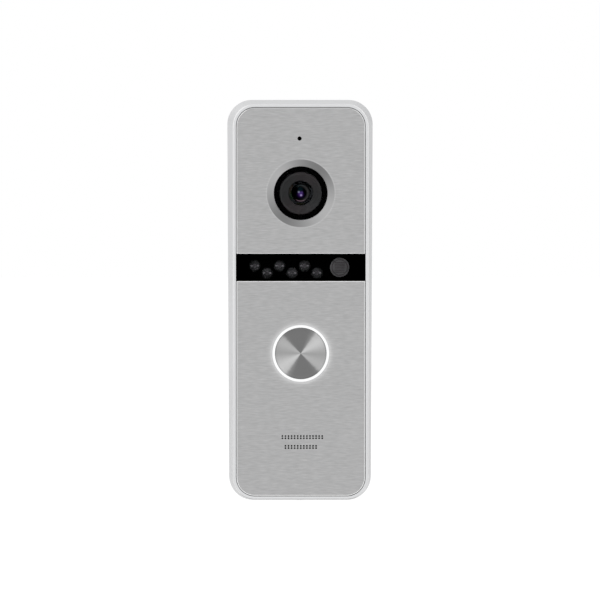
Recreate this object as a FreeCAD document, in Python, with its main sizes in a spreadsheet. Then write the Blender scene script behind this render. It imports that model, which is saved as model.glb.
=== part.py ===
import FreeCAD, Part
import math
import os
import re
import Sketcher
from FreeCAD import Placement, Rotation, Vector

# A wall-mounted video door station. The origin lies on the wall, behind the middle of the body.
# +Z points up and the front looks along -Y, so a depth is a distance from the wall along -Y.

DIMENSIONS = {
    # The body at the wall, and the flat land that surrounds the face plates
    "body_height": 143.0,
    "body_width": 52.0,
    "body_taper": 1.44,
    "body_corner": 8.7,
    "land_depth": 22.4,
    "land_margin": 1.3,
    "land_corner": 7.8,
    "land_edge": 0.45,
    # The hollow of the casing: the opening for the rear cover, the ledge and the main cavity
    "opening_width": 48.0,
    "opening_height": 139.2,
    "opening_corner": 7.0,
    "ledge_depth": 6.6,
    "cavity_width": 45.2,
    "cavity_height": 136.8,
    "cavity_corner": 5.4,
    "web_rear": 18.6,
    "web_front": 20.4,
    # The face plates
    "plate_width": 45.7,
    "plate_height": 138.1,
    "plate_corner": 6.5,
    "plate_rear": 20.6,
    "plate_front": 22.7,
    "plate_bevel": 0.25,
    "plate_seam": 0.25,
    "tape_margin": 1.5,
    # The dark window between the plates
    "window_z": 12.22,
    "window_height": 9.7,
    "window_gap": 0.05,
    "window_front": 22.35,
    "window_sight_x": -0.5,
    "window_sight_width": 37.0,
    "window_sight_height": 8.6,
    # The camera
    "camera_z": 38.6,
    "sink_radius": 12.1,
    "sink_depth": 1.2,
    "glass_radius": 9.55,
    "glass_hole": 9.6,
    "glass_rear": 19.9,
    "glass_front": 21.3,
    "mask_rear": 19.6,
    "mask_inner": 7.75,
    "lens_opening": 8.5,
    "lens_head_radius": 7.68,
    "lens_head_rear": 15.5,
    "lens_head_front": 19.3,
    "lens_rim": 6.7,
    "lens_recess": 4.45,
    "lens_recess_depth": 18.0,
    "lens_thread": 6.0,
    "lens_thread_rear": 10.2,
    "lens_bore": 3.4,
    "lens_lock_radius": 8.1,
    "lens_lock_rear": 14.95,
    "lens_lock_front": 15.45,
    "front_element_radius": 4.4,
    "front_element_rear": 16.4,
    "front_element_crown": 0.9,
    "stop_radius": 2.2,
    "stop_rear": 15.7,
    "stop_front": 16.2,
    "inner_element_radius": 3.35,
    "inner_element_rear": 13.6,
    "inner_element_front": 15.4,
    "mount_base": 16.0,
    "mount_base_front": 10.4,
    "mount_tube_radius": 7.2,
    "mount_front": 14.9,
    "mount_bore": 6.05,
    "camera_board_size": 29.0,
    "camera_board_rear": 7.5,
    "camera_board_front": 8.7,
    "camera_post_spacing": 24.4,
    "camera_post_radius": 2.0,
    "sensor_size": 7.4,
    "sensor_front": 9.7,
    # Infrared diodes and light sensor behind the window
    "led_first_x": -16.35,
    "led_pitch": 4.43,
    "led_upper_z": 12.7,
    "led_lower_z": 10.15,
    "led_radius": 2.15,
    "led_flange_radius": 2.4,
    "led_flange": 1.0,
    "led_tip": 19.9,
    "bezel_rear": 17.6,
    "bezel_front": 19.4,
    "bezel_diode_hole": 2.2,
    "bezel_cell_hole": 3.55,
    "cell_x": 13.9,
    "cell_z": 12.15,
    "cell_radius": 3.42,
    "cell_rear": 17.4,
    "cell_front": 19.5,
    "cell_lead_radius": 0.25,
    "cell_lead_offset": 1.7,
    "sight_board_width": 40.0,
    "sight_board_height": 12.0,
    "sight_board_z": 11.9,
    "sight_board_rear": 11.6,
    "sight_board_front": 12.8,
    "spacer_radius": 1.5,
    "spacer_x": 17.0,
    "spacer_z": 7.6,
    "header_width": 10.2,
    "header_height": 2.5,
    "header_z": 16.0,
    # The call button, its lit ring and its switch
    "button_z": -18.4,
    "cap_radius": 9.1,
    "cap_rear": 21.2,
    "cap_front": 23.0,
    "cap_bevel": 0.3,
    "cap_dish": 0.12,
    "button_travel": 0.8,
    "button_overtravel": 0.1,
    "ring_inner": 9.18,
    "ring_outer": 10.25,
    "ring_hole": 10.35,
    "ring_front": 22.75,
    "ring_shoulder_rear": 17.7,
    "ring_shoulder_front": 18.5,
    "ring_skirt_inner": 10.6,
    "ring_skirt_outer": 11.8,
    "ring_skirt_rear": 11.6,
    "carrier_flange_radius": 10.4,
    "carrier_flange_rear": 16.4,
    "carrier_flange_front": 17.6,
    "carrier_stem_radius": 2.0,
    "carrier_stem_rear": 14.92,
    "carrier_relief_inner": 6.7,
    "carrier_relief_outer": 8.2,
    "carrier_relief_depth": 20.0,
    "spring_radius": 5.5,
    "spring_wire": 0.25,
    "spring_turns": 4.0,
    "switch_size": 6.0,
    "switch_front": 13.9,
    "switch_bore": 1.8,
    "switch_bore_rear": 12.6,
    "plunger_radius": 1.75,
    "plunger_front": 14.9,
    "ring_led_circle": 11.2,
    "ring_led_count": 6.0,
    "ring_led_length": 2.0,
    "ring_led_width": 1.2,
    "ring_led_height": 0.7,
    # Speaker and its grille
    "grille_upper_z": -48.2,
    "grille_lower_z": -51.7,
    "grille_upper_count": 14.0,
    "grille_lower_count": 11.0,
    "grille_upper_shift": 0.5,
    "grille_lower_shift": 0.0,
    "grille_pitch": 1.09,
    "grille_row_gap": 0.8,
    "grille_hole_radius": 0.32,
    "speaker_z": -50.2,
    "sound_slot_width": 17.0,
    "sound_slot_height": 6.4,
    "mesh_margin": 1.2,
    "mesh_rear": 20.0,
    "mesh_front": 20.35,
    "speaker_radius": 16.0,
    "speaker_rim_inner": 14.2,
    "speaker_front": 17.8,
    "speaker_rim_rear": 16.6,
    "basket_rear": 13.6,
    "basket_radius": 10.0,
    "basket_wall": 0.7,
    "magnet_radius": 8.0,
    "magnet_rear": 11.4,
    "cone_thickness": 0.25,
    "cone_depth": 15.2,
    "cone_cap_radius": 4.6,
    # Microphone
    "microphone_x": -0.43,
    "microphone_z": 58.1,
    "microphone_hole": 0.75,
    "microphone_passage": 1.1,
    "capsule_radius": 3.0,
    "capsule_rear": 14.6,
    "capsule_front": 17.3,
    "boot_radius": 4.2,
    "boot_rear": 14.0,
    "boot_cable_hole": 2.2,
    # The main board and what stands on it
    "board_width": 41.0,
    "board_top": 24.0,
    "board_bottom": -33.0,
    "board_corner": 1.5,
    "board_rear": 8.8,
    "board_front": 10.4,
    "board_post_x": 18.2,
    "board_post_top": 21.3,
    "board_post_bottom": -30.2,
    "board_post_radius": 2.3,
    "small_screw_thread": 1.0,
    "small_screw_head": 1.9,
    "small_screw_head_height": 1.3,
    "small_screw_length": 5.0,
    "thread_clearance": 0.03,
    "board_hole_radius": 1.15,
    "chip_height": 1.2,
    "processor_size": 9.0,
    "processor_x": -6.0,
    "processor_z": 1.0,
    "video_chip_size": 7.0,
    "video_chip_x": 11.0,
    "video_chip_z": -1.0,
    "audio_chip_width": 5.0,
    "audio_chip_height": 4.0,
    "audio_chip_x": 9.0,
    "audio_chip_z": -30.5,
    "capacitor_radius": 2.0,
    "capacitor_height": 5.2,
    "capacitor_x": 16.8,
    "capacitor_left_z": -8.0,
    "capacitor_right_z": -7.0,
    "capacitor_pitch": 5.0,
    "connector_width": 5.0,
    "connector_height": 2.6,
    "connector_depth": 4.0,
    "board_edge": 0.1,
    "speaker_socket_x": -4.0,
    "microphone_socket_x": -14.0,
    "microphone_socket_z": 3.7,
    "ribbon_socket_z": 20.0,
    "ribbon_socket_height": 2.4,
    "ribbon_socket_rear": 7.6,
    "pigtail_socket_width": 9.0,
    "pigtail_socket_height": 5.0,
    "pigtail_socket_rear": 6.3,
    # Volume trimmer, reached from behind
    "trimmer_x": 4.5,
    "trimmer_z": -7.0,
    "trimmer_size": 6.4,
    "trimmer_rear": 6.9,
    "trimmer_bore": 1.75,
    "trimmer_bore_front": 8.1,
    "rotor_radius": 1.7,
    "rotor_rear": 6.55,
    "rotor_front": 8.05,
    "rotor_slot_width": 0.5,
    "rotor_slot_length": 2.6,
    "rotor_slot_depth": 0.5,
    "trimmer_access": 2.4,
    # Rear cover, seal and screws
    "cover_width": 47.6,
    "cover_height": 138.8,
    "cover_corner": 6.7,
    "cover_rear": 4.0,
    "cover_front": 6.0,
    "cover_panel_depth": 0.5,
    "seal_outer_width": 47.2,
    "seal_outer_height": 138.4,
    "seal_outer_corner": 6.5,
    "seal_inner_width": 45.6,
    "seal_inner_height": 137.2,
    "seal_inner_corner": 5.6,
    "cover_post_x": 18.6,
    "cover_post_z": 63.4,
    "cover_post_radius": 3.0,
    "cover_screw_thread": 1.25,
    "cover_screw_hole": 1.45,
    "cover_screw_head": 2.4,
    "cover_screw_length": 9.0,
    "recess_arm": 1.2,
    "recess_width": 0.5,
    "recess_depth": 0.8,
    "bay_width": 26.0,
    "bay_top": -39.0,
    "bay_bottom": -60.0,
    "bay_floor": 9.4,
    "bay_wall": 1.4,
    "bay_corner": 1.5,
    "hook_slot_width": 7.0,
    "hook_slot_height": 4.8,
    # Wiring that leaves the body
    "grommet_x": -5.0,
    "grommet_depth": 7.7,
    "grommet_width": 8.6,
    "grommet_height": 2.2,
    "grommet_flange": 0.5,
    "grommet_lip": 1.0,
    "grommet_corner": 0.8,
    "wire_radius": 0.5,
    "wire_passage": 0.55,
    "wire_pitch": 2.0,
    "wire_bend": 2.0,
    "wire_bend_rise": 0.3,
    "plug_length": 6.5,
    "plug_depth": 4.0,
    "plug_height": 10.2,
    "plug_x": 2.0,
    "plug_z": -46.4,
    "plug_rear": 5.3,
    "plug_pitch": 2.2,
    "thin_wire_radius": 0.35,
    "thin_wire_gap": 1.1,
    "thin_wire_straight": 1.5,
    "thin_wire_ease": 0.2,
    "wire_lane_drop": 1.8,
    "ribbon_width": 8.0,
    "ribbon_thickness": 0.25,
    # Wall bracket and its locking screw
    "bracket_width": 32.4,
    "bracket_top": 64.0,
    "bracket_bottom": -69.0,
    "bracket_corner": 3.0,
    "bracket_thickness": 1.2,
    "flange_front": 3.4,
    "flange_top": 46.0,
    "flange_bottom": -58.0,
    "wall_slot_z": 30.0,
    "wall_slot_radius": 2.1,
    "wall_slot_length": 8.0,
    "bracket_window_width": 20.0,
    "bracket_window_height": 40.0,
    "bracket_window_corner": 3.0,
    "hook_x": 9.0,
    "hook_width": 6.0,
    "hook_z": 57.0,
    "hook_lip_height": 3.0,
    "hook_lip_rear": 6.2,
    "hook_lip_front": 7.4,
    "lock_tab_width": 10.0,
    "lock_tab_front": 3.85,
    "lock_depth": 2.45,
    "lock_thread": 1.0,
    "lock_hole": 1.1,
    "lock_head": 1.9,
    "lock_head_height": 0.85,
    "lock_head_z": -71.3,
    "lock_length": 4.6,
}

doc = FreeCAD.newDocument("DoorStation")
sheet = doc.addObject("Spreadsheet::Sheet", "Dimensions")
for row, (alias, number) in enumerate(DIMENSIONS.items(), start=1):
    sheet.set(f"A{row}", alias)
    sheet.set(f"B{row}", str(number))
    sheet.setAlias(f"B{row}", alias)
doc.recompute()

ALIAS = re.compile(r"[a-z][a-z_]+")
TO_FRONT = Rotation(Vector(1, 0, 0), 90)
UPWARD = Rotation(Vector(1, 0, 0), -90)
COIL_STEPS = 12
nodes = []


# ---------------------------------------------------------------- shared helpers

def bind(thing, name, expression):
    """Ties a property of a thing to an expression of sheet names."""
    linked = ALIAS.sub(lambda word: word.group()
                       if word.group() not in DIMENSIONS else "Dimensions." + word.group(),
                       str(expression))
    thing.setExpression(name, linked)


def size(expression):
    """The present value of an expression of sheet names, in millimetres."""
    return float(sheet.evalExpression(str(expression)))


def node(thing):
    """Marks a document object as one piece of the product."""
    nodes.append(thing)
    return thing


def place(thing, x="0", depth="0", z="0", rotation=None):
    """Binds a thing's place; depth runs from the wall to the front."""
    if rotation is not None:
        thing.Placement = Placement(Vector(), rotation)
    bind(thing, "Placement.Base.x", x)
    bind(thing, "Placement.Base.y", f"-({depth})")
    bind(thing, "Placement.Base.z", z)
    return thing


def new_body(label):
    return doc.addObject("PartDesign::Body", label)


def sketch_on(body, role, offset="0"):
    """A sketch on one of the body's own origin planes, moved along the plane's normal."""
    plane = next(f for f in body.Origin.OriginFeatures if f.Role == role)
    sketch = body.newObject("Sketcher::SketchObject", body.Name + "_sketch")
    sketch.AttachmentSupport = [(plane, "")]
    sketch.MapMode = "FlatFace"
    bind(sketch, "AttachmentOffset.Base.z", offset)
    return sketch


def limit(sketch, kind, elements, expression):
    """Adds a sized constraint and binds it to an expression."""
    index = sketch.addConstraint(Sketcher.Constraint(kind, *elements, size(expression)))
    name = f"size_{index}"
    sketch.renameConstraint(index, name)
    bind(sketch, "Constraints." + name, expression)


def outline(sketch, corners, radius=None, rounded=None):
    """A closed outline through corners, each a pair of expressions; the rounded ones get arcs."""
    first = sketch.GeometryCount
    count = len(corners)
    points = [Vector(size(x), size(z), 0) for x, z in corners]
    for index in range(count):
        line = Part.LineSegment(points[index], points[(index + 1) % count])
        sketch.addGeometry(line, False)
    for index in range(count):
        following = first + (index + 1) % count
        sketch.addConstraint(Sketcher.Constraint("Coincident", first + index, 2, following, 1))
    for index, (x, z) in enumerate(corners):
        limit(sketch, "DistanceX", (-1, 1, first + index, 1), x)
        limit(sketch, "DistanceY", (-1, 1, first + index, 1), z)
    for index in range(count) if radius and rounded is None else rounded or ():
        arc = sketch.GeometryCount
        sketch.fillet(first + index, 1, size(radius), True, True)
        limit(sketch, "Radius", (arc,), radius)


def circle(sketch, x, z, radius):
    index = sketch.GeometryCount
    sketch.addGeometry(Part.Circle(Vector(size(x), size(z), 0), Vector(0, 0, 1), size(radius)))
    limit(sketch, "Radius", (index,), radius)
    limit(sketch, "DistanceX", (-1, 1, index, 3), x)
    limit(sketch, "DistanceY", (-1, 1, index, 3), z)


def slot(sketch, x, z, radius, length):
    """An upright round-ended slot, its length measured end to end."""
    half = f"({length}) / 2 - {radius}"
    x0, z0, r0 = size(x), size(z), size(radius)
    h0 = size(half)
    first = sketch.GeometryCount
    axis = Vector(0, 0, 1)
    top = Part.Circle(Vector(x0, z0 + h0, 0), axis, r0)
    foot = Part.Circle(Vector(x0, z0 - h0, 0), axis, r0)
    sketch.addGeometry(Part.ArcOfCircle(top, 0, math.pi), False)
    sketch.addGeometry(Part.ArcOfCircle(foot, math.pi, 2 * math.pi), False)
    left = Part.LineSegment(Vector(x0 - r0, z0 + h0, 0), Vector(x0 - r0, z0 - h0, 0))
    right = Part.LineSegment(Vector(x0 + r0, z0 - h0, 0), Vector(x0 + r0, z0 + h0, 0))
    sketch.addGeometry(left, False)
    sketch.addGeometry(right, False)
    top, foot, left, right = range(first, first + 4)
    for joint in ((top, 2, left, 1), (left, 2, foot, 1), (foot, 2, right, 1), (right, 2, top, 1)):
        sketch.addConstraint(Sketcher.Constraint("Tangent", *joint))
    limit(sketch, "Radius", (top,), radius)
    limit(sketch, "DistanceX", (-1, 1, top, 3), x)
    limit(sketch, "DistanceY", (-1, 1, top, 3), f"{z} + {half}")
    limit(sketch, "DistanceY", (-1, 1, foot, 3), f"{z} - ({half})")


def rectangle(x_low, x_high, z_low, z_high):
    return [(x_low, z_low), (x_high, z_low), (x_high, z_high), (x_low, z_high)]


def centred(width, height, x="0", z="0"):
    return rectangle(f"{x} - {width} / 2", f"{x} + {width} / 2",
                     f"{z} - {height} / 2", f"{z} + {height} / 2")


def tapered(width, height):
    """The body's outline: a foot narrower than the top by body_taper."""
    foot = f"({width} - body_taper) / 2"
    return [(f"-({foot})", f"-({height}) / 2"), (foot, f"-({height}) / 2"),
            (f"({width}) / 2", f"({height}) / 2"), (f"-({width}) / 2", f"({height}) / 2")]


def pad(body, depth_low, depth_high, draw):
    """Adds material between two depths; draw fills the sketch."""
    sketch = sketch_on(body, "XZ_Plane", depth_low)
    draw(sketch)
    feature = body.newObject("PartDesign::Pad", body.Name + "_pad")
    feature.Profile = sketch
    bind(feature, "Length", f"{depth_high} - ({depth_low})")
    doc.recompute()
    return feature


def pocket(body, depth_low, depth_high, draw):
    """Removes material between two depths, and insists that some was removed."""
    before = body.Shape.Volume
    sketch = sketch_on(body, "XZ_Plane", depth_low)
    draw(sketch)
    feature = body.newObject("PartDesign::Pocket", body.Name + "_pocket")
    feature.Profile = sketch
    feature.Reversed = True
    bind(feature, "Length", f"{depth_high} - ({depth_low})")
    doc.recompute()
    if not body.Shape.Volume < before:
        raise RuntimeError(f"a pocket in {body.Label} removed nothing")
    return feature


def edges_at_depth(shape, depth):
    """Names of the edges that lie in the plane at a depth."""
    y = -size(depth)
    flat = 0.001
    return [f"Edge{index}" for index, edge in enumerate(shape.Edges, start=1)
            if edge.BoundBox.YLength < flat and abs(edge.BoundBox.YMin - y) < flat]


def soften(body, kind, depth, amount):
    """A fillet or chamfer along every edge in the plane at a depth."""
    base = body.Tip
    feature = body.newObject("PartDesign::" + kind, body.Name + "_" + kind.lower())
    feature.Base = (base, edges_at_depth(base.Shape, depth))
    bind(feature, "Radius" if kind == "Fillet" else "Size", amount)
    doc.recompute()
    return feature


def turned(label, profile, x="0", z="0", depth="0", rotation=None):
    """A round piece: profile holds (depth, radius) pairs about an axis that points to the front."""
    body = new_body(label)
    sketch = sketch_on(body, "YZ_Plane")
    outline(sketch, [(f"-({along})", radius) for along, radius in profile])
    feature = body.newObject("PartDesign::Revolution", label + "_turn")
    feature.Profile = sketch
    feature.ReferenceAxis = (sketch, ["H_Axis"])
    feature.Angle = 360
    place(body, x, depth, z, rotation)
    doc.recompute()
    return body


def slab(label, depth_low, depth_high, corners, radius=None, rounded=None):
    """A flat piece of one outline between two depths."""
    body = new_body(label)
    pad(body, depth_low, depth_high, lambda sketch: outline(sketch, corners, radius, rounded))
    return body


def block(label, width, height, depth_low, depth_high, x="0", z="0"):
    """A rectangular piece centred on x and z between two depths."""
    thing = doc.addObject("Part::Box", label)
    bind(thing, "Length", width)
    bind(thing, "Width", f"{depth_high} - ({depth_low})")
    bind(thing, "Height", height)
    return place(thing, f"{x} - ({width}) / 2", depth_high, f"{z} - ({height}) / 2")


def rod(label, radius, depth_low, depth_high, x="0", z="0"):
    """A round bar between two depths."""
    thing = doc.addObject("Part::Cylinder", label)
    bind(thing, "Radius", radius)
    bind(thing, "Height", f"{depth_high} - ({depth_low})")
    return place(thing, x, depth_low, z, TO_FRONT)


def group(label, pattern, places):
    """Several copies of one pattern piece, each moved by an (x, z) pair, in one node."""
    links = []
    for index, (x, z) in enumerate(places, start=1):
        link = doc.addObject("App::Link", f"{label}_{index}")
        link.setLink(pattern)
        link.Placement = pattern.Placement
        place(link, x, "0", z)
        links.append(link)
    return gather(label, links)


def gather(label, pieces):
    """Separate solids that share one node."""
    compound = doc.addObject("Part::Compound", label)
    compound.Links = pieces
    return node(compound)


def joined(label, pieces):
    """Pieces moulded or soldered into one solid."""
    union = doc.addObject("Part::MultiFuse", label)
    union.Shapes = pieces
    return union


def cross_recess(body, depth):
    """The cross-shaped driver recess in a screw head whose rear face is at a depth."""
    arm, half = "recess_arm", "recess_width / 2"
    corners = [(half, f"-{half}"), (arm, f"-{half}"), (arm, half), (half, half),
               (half, arm), (f"-{half}", arm), (f"-{half}", half), (f"-{arm}", half),
               (f"-{arm}", f"-{half}"), (f"-{half}", f"-{half}"), (f"-{half}", f"-{arm}"),
               (half, f"-{arm}")]
    pocket(body, depth, f"{depth} + recess_depth", lambda sketch: outline(sketch, corners))
    return body


def cable(label, points, radius):
    """A round wire along a smooth curve through (x, depth, z) points in millimetres."""
    curve = Part.BSplineCurve()
    curve.interpolate([Vector(x, -depth, z) for x, depth, z in points])
    spine = Part.Wire([curve.toShape()])
    start = curve.value(curve.FirstParameter)
    along = curve.tangent(curve.FirstParameter)[0]
    section = Part.Wire([Part.Circle(start, along, size(radius)).toShape()])
    thing = doc.addObject("Part::Feature", label)
    thing.Shape = spine.makePipeShell([section], True, True)
    thing.Placement = Placement()
    return thing


# ---------------------------------------------------------------- casing and front plates

def front_casing():
    """The cast body: a drafted shell with a web behind the plates and posts for the screws."""
    body = new_body("front_casing")
    foot = sketch_on(body, "XZ_Plane")
    outline(foot, tapered("body_width", "body_height"), "body_corner")
    land = sketch_on(body, "XZ_Plane", "land_depth")
    outline(land, centred("(plate_width + 2 * land_margin)", "(plate_height + 2 * land_margin)"),
            "land_corner")
    loft = body.newObject("PartDesign::AdditiveLoft", "front_casing_loft")
    loft.Profile = foot
    loft.Sections = [land]
    loft.Ruled = True
    doc.recompute()
    soften(body, "Fillet", "land_depth", "land_edge")
    pocket(body, "0", "ledge_depth", lambda sketch: outline(
        sketch, tapered("opening_width", "opening_height"), "opening_corner"))
    pocket(body, "ledge_depth", "web_rear", lambda sketch: outline(
        sketch, tapered("cavity_width", "cavity_height"), "cavity_corner"))
    pocket(body, "web_front", "land_depth", lambda sketch: outline(
        sketch, centred("(plate_width + 2 * plate_seam)", "(plate_height + 2 * plate_seam)"),
        "plate_corner + plate_seam"))
    casing_openings(body)
    casing_posts(body)
    casing_lock_hole(body)
    return node(body)


def casing_openings(body):
    """Openings of the web for the lens, the diodes, the button ring, the speaker and the sound."""
    def through(sketch):
        circle(sketch, "0", "camera_z", "lens_opening")
        circle(sketch, "0", "button_z", "ring_hole")
        circle(sketch, "microphone_x", "microphone_z", "microphone_passage")
        outline(sketch, centred("window_sight_width", "window_sight_height",
                                "window_sight_x", "window_z"))
        outline(sketch, centred("sound_slot_width", "sound_slot_height", "0", "speaker_z"),
                "mesh_margin")
    pocket(body, "web_rear", "web_front", through)
    pocket(body, "mask_rear", "web_front", lambda sketch: circle(
        sketch, "0", "camera_z", "glass_hole"))
    pocket(body, "mesh_rear", "web_front", lambda sketch: outline(
        sketch, centred("(sound_slot_width + 2 * mesh_margin)",
                        "(sound_slot_height + 2 * mesh_margin)", "0", "speaker_z"), "mesh_margin"))


def casing_posts(body):
    """Posts that carry the rear cover, the main board and the camera board, with pilot holes."""
    families = (
        ("ledge_depth", COVER_POSTS, "cover_post_radius", "cover_screw_thread",
         "cover_rear + cover_screw_length"),
        ("board_front", BOARD_POSTS, "board_post_radius", "small_screw_thread",
         "board_rear + small_screw_length"),
        ("camera_board_front", CAMERA_POSTS, "camera_post_radius", "small_screw_thread",
         "camera_board_rear + small_screw_length"),
    )
    for depth, posts, radius, thread, hole_end in families:
        def draw(sketch, size_name):
            for x, z in posts:
                circle(sketch, x, z, size_name)
        pad(body, depth, "web_rear", lambda sketch: draw(sketch, radius))
        pocket(body, depth, hole_end, lambda sketch: draw(sketch, thread + " + thread_clearance"))


def casing_lock_hole(body):
    """The countersunk hole under the body for the locking screw."""
    sketch = sketch_on(body, "YZ_Plane")
    outer = "-body_height / 2"
    reach = "lock_head_z + lock_head_height"
    axis_y = "-lock_depth"
    outline(sketch, [(axis_y, outer), (f"{axis_y} - lock_head", outer),
                     (f"{axis_y} - lock_head", "lock_head_z"), (f"{axis_y} - lock_hole", reach),
                     (f"{axis_y} - lock_hole", "-opening_height / 2 + lock_thread"),
                     (axis_y, "-opening_height / 2 + lock_thread")])
    first = sketch.GeometryCount
    y = size(axis_y)
    sketch.addGeometry(Part.LineSegment(Vector(y, size(outer), 0), Vector(y, 0, 0)), True)
    sketch.addConstraint(Sketcher.Constraint("Vertical", first))
    limit(sketch, "DistanceX", (-1, 1, first, 1), axis_y)
    limit(sketch, "DistanceY", (-1, 1, first, 1), outer)
    limit(sketch, "DistanceY", (-1, 1, first, 2), "0")
    before = body.Shape.Volume
    groove = body.newObject("PartDesign::Groove", "front_casing_lock_hole")
    groove.Profile = sketch
    groove.ReferenceAxis = (sketch, ["Axis0"])
    groove.Angle = 360
    doc.recompute()
    if not body.Shape.Volume < before:
        raise RuntimeError("the locking hole removed nothing")


def both_signs(x, z_values):
    return [(sign + x, z) for z in z_values for sign in ("-", "")]


COVER_POSTS = both_signs("cover_post_x", ("cover_post_z", "-cover_post_z"))
BOARD_POSTS = both_signs("board_post_x", ("board_post_top", "board_post_bottom"))
CAMERA_POSTS = both_signs("camera_post_spacing / 2", (
    "camera_z + camera_post_spacing / 2", "camera_z - camera_post_spacing / 2"))
DIODES = [(f"led_first_x + {index} * led_pitch", "led_lower_z" if index % 2 else "led_upper_z")
          for index in range(6)]
WINDOW_TOP = "window_z + window_height / 2"
WINDOW_FOOT = "window_z - window_height / 2"
HALF_PLATE = "plate_width / 2"


def upper_face_plate():
    """The plate above the window, with the countersunk camera hole and the microphone hole."""
    corners = rectangle(f"-{HALF_PLATE}", HALF_PLATE, f"{WINDOW_TOP} + window_gap",
                        "plate_height / 2")
    body = slab("upper_face_plate", "plate_rear", "plate_front", corners, "plate_corner", (2, 3))
    soften(body, "Chamfer", "plate_front", "plate_bevel")
    pocket(body, "plate_rear", "plate_front", lambda sketch: (
        circle(sketch, "0", "camera_z", "glass_hole"),
        circle(sketch, "microphone_x", "microphone_z", "microphone_hole")))
    countersink(body)
    return node(body)


def countersink(body):
    """The shallow cone around the camera, from the plate's face down to the glass hole."""
    sketch = sketch_on(body, "YZ_Plane")
    rim = "camera_z + sink_radius"
    throat = "camera_z + glass_hole"
    outline(sketch, [("-plate_front", "camera_z"), ("-plate_front", rim),
                     ("-plate_front + sink_depth", throat), ("-plate_front + sink_depth",
                                                             "camera_z")])
    first = sketch.GeometryCount
    z = size("camera_z")
    sketch.addGeometry(Part.LineSegment(Vector(-size("plate_front"), z, 0), Vector(0, z, 0)), True)
    sketch.addConstraint(Sketcher.Constraint("Horizontal", first))
    limit(sketch, "DistanceX", (-1, 1, first, 1), "-plate_front")
    limit(sketch, "DistanceX", (-1, 1, first, 2), "0")
    limit(sketch, "DistanceY", (-1, 1, first, 1), "camera_z")
    before = body.Shape.Volume
    groove = body.newObject("PartDesign::Groove", "upper_face_plate_countersink")
    groove.Profile = sketch
    groove.ReferenceAxis = (sketch, ["Axis0"])
    groove.Angle = 360
    doc.recompute()
    if not body.Shape.Volume < before:
        raise RuntimeError("the countersink removed nothing")


def lower_face_plate():
    """The plate below the window, with the button hole and the speaker grille."""
    corners = rectangle(f"-{HALF_PLATE}", HALF_PLATE, "-plate_height / 2",
                        f"{WINDOW_FOOT} - window_gap")
    body = slab("lower_face_plate", "plate_rear", "plate_front", corners, "plate_corner", (0, 1))
    soften(body, "Chamfer", "plate_front", "plate_bevel")
    pocket(body, "plate_rear", "plate_front", lambda sketch: circle(
        sketch, "0", "button_z", "ring_hole"))
    for z, count, shift in (("grille_upper_z", "grille_upper_count", "grille_upper_shift"),
                            ("grille_lower_z", "grille_lower_count", "grille_lower_shift")):
        grille_rows(body, z, count, shift)
    return node(body)


def grille_rows(body, z, count, shift):
    """Two rows of small holes, one above the other, shifted by a share of the pitch."""
    start = f"({shift} - ({count} - 1) / 2) * grille_pitch"
    hole = pocket(body, "plate_rear", "plate_front", lambda sketch: (
        circle(sketch, start, f"{z} + grille_row_gap / 2", "grille_hole_radius"),
        circle(sketch, start, f"{z} - grille_row_gap / 2", "grille_hole_radius")))
    pattern = body.newObject("PartDesign::LinearPattern", body.Name + "_rows")
    pattern.Originals = [hole]
    pattern.Direction = (hole.Profile[0], ["H_Axis"])
    bind(pattern, "Length", f"({count} - 1) * grille_pitch")
    bind(pattern, "Occurrences", count)
    body.Tip = pattern
    doc.recompute()


def plate_adhesive():
    """Two thin sheets of mounting tape that hold the plates to the web."""
    inner = "plate_width / 2 - tape_margin"
    top = slab("tape_upper", "web_front", "plate_rear", rectangle(
        f"-({inner})", inner, f"{WINDOW_TOP} + tape_margin", "plate_height / 2 - tape_margin"),
        "plate_corner - tape_margin", (2, 3))
    pocket(top, "web_front", "plate_rear", lambda sketch: (
        circle(sketch, "0", "camera_z", "sink_radius"),
        circle(sketch, "microphone_x", "microphone_z", "microphone_passage")))
    foot = slab("tape_lower", "web_front", "plate_rear", rectangle(
        f"-({inner})", inner, "-plate_height / 2 + tape_margin", f"{WINDOW_FOOT} - tape_margin"),
        "plate_corner - tape_margin", (0, 1))
    pocket(foot, "web_front", "plate_rear", lambda sketch: (
        circle(sketch, "0", "button_z", "ring_skirt_outer"),
        outline(sketch, centred("(sound_slot_width + 4 * mesh_margin)",
                                "(sound_slot_height + 4 * mesh_margin)", "0", "speaker_z"),
                "mesh_margin")))
    return gather("plate_adhesive", [top, foot])


def sensor_window():
    """The dark acrylic bar that hides the infrared diodes and the light sensor."""
    body = slab("sensor_window", "web_front", "window_front",
                centred("(plate_width + plate_seam)", "window_height", "0", "window_z"))
    soften(body, "Chamfer", "window_front", "plate_bevel / 2")
    return node(body)


# ---------------------------------------------------------------- camera

def camera_cover_glass():
    body = turned("camera_cover_glass", [
        ("glass_rear", "0"), ("glass_rear", "glass_radius"),
        ("glass_front - plate_bevel", "glass_radius"),
        ("glass_front", "glass_radius - plate_bevel"), ("glass_front", "0")], z="camera_z")
    return node(body)


def glass_mask_ring():
    """The black ring behind the glass that hides its seat and frames the lens."""
    body = turned("glass_mask_ring", [
        ("mask_rear", "mask_inner"), ("mask_rear", "glass_radius"),
        ("glass_rear", "glass_radius"), ("glass_rear", "mask_inner")], z="camera_z")
    return node(body)


def lens_barrel():
    """The threaded lens tube with its wide head and the stepped mouth around the front element."""
    body = turned("lens_barrel", [
        ("lens_thread_rear", "lens_bore"), ("lens_thread_rear", "lens_thread"),
        ("lens_head_rear", "lens_thread"), ("lens_head_rear", "lens_head_radius"),
        ("lens_head_front - plate_bevel", "lens_head_radius"),
        ("lens_head_front", "lens_head_radius - plate_bevel"),
        ("lens_head_front", "lens_rim"),
        ("lens_recess_depth", "lens_recess"),
        ("front_element_rear", "lens_recess"),
        ("front_element_rear", "lens_bore")], z="camera_z")
    return node(body)


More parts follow.
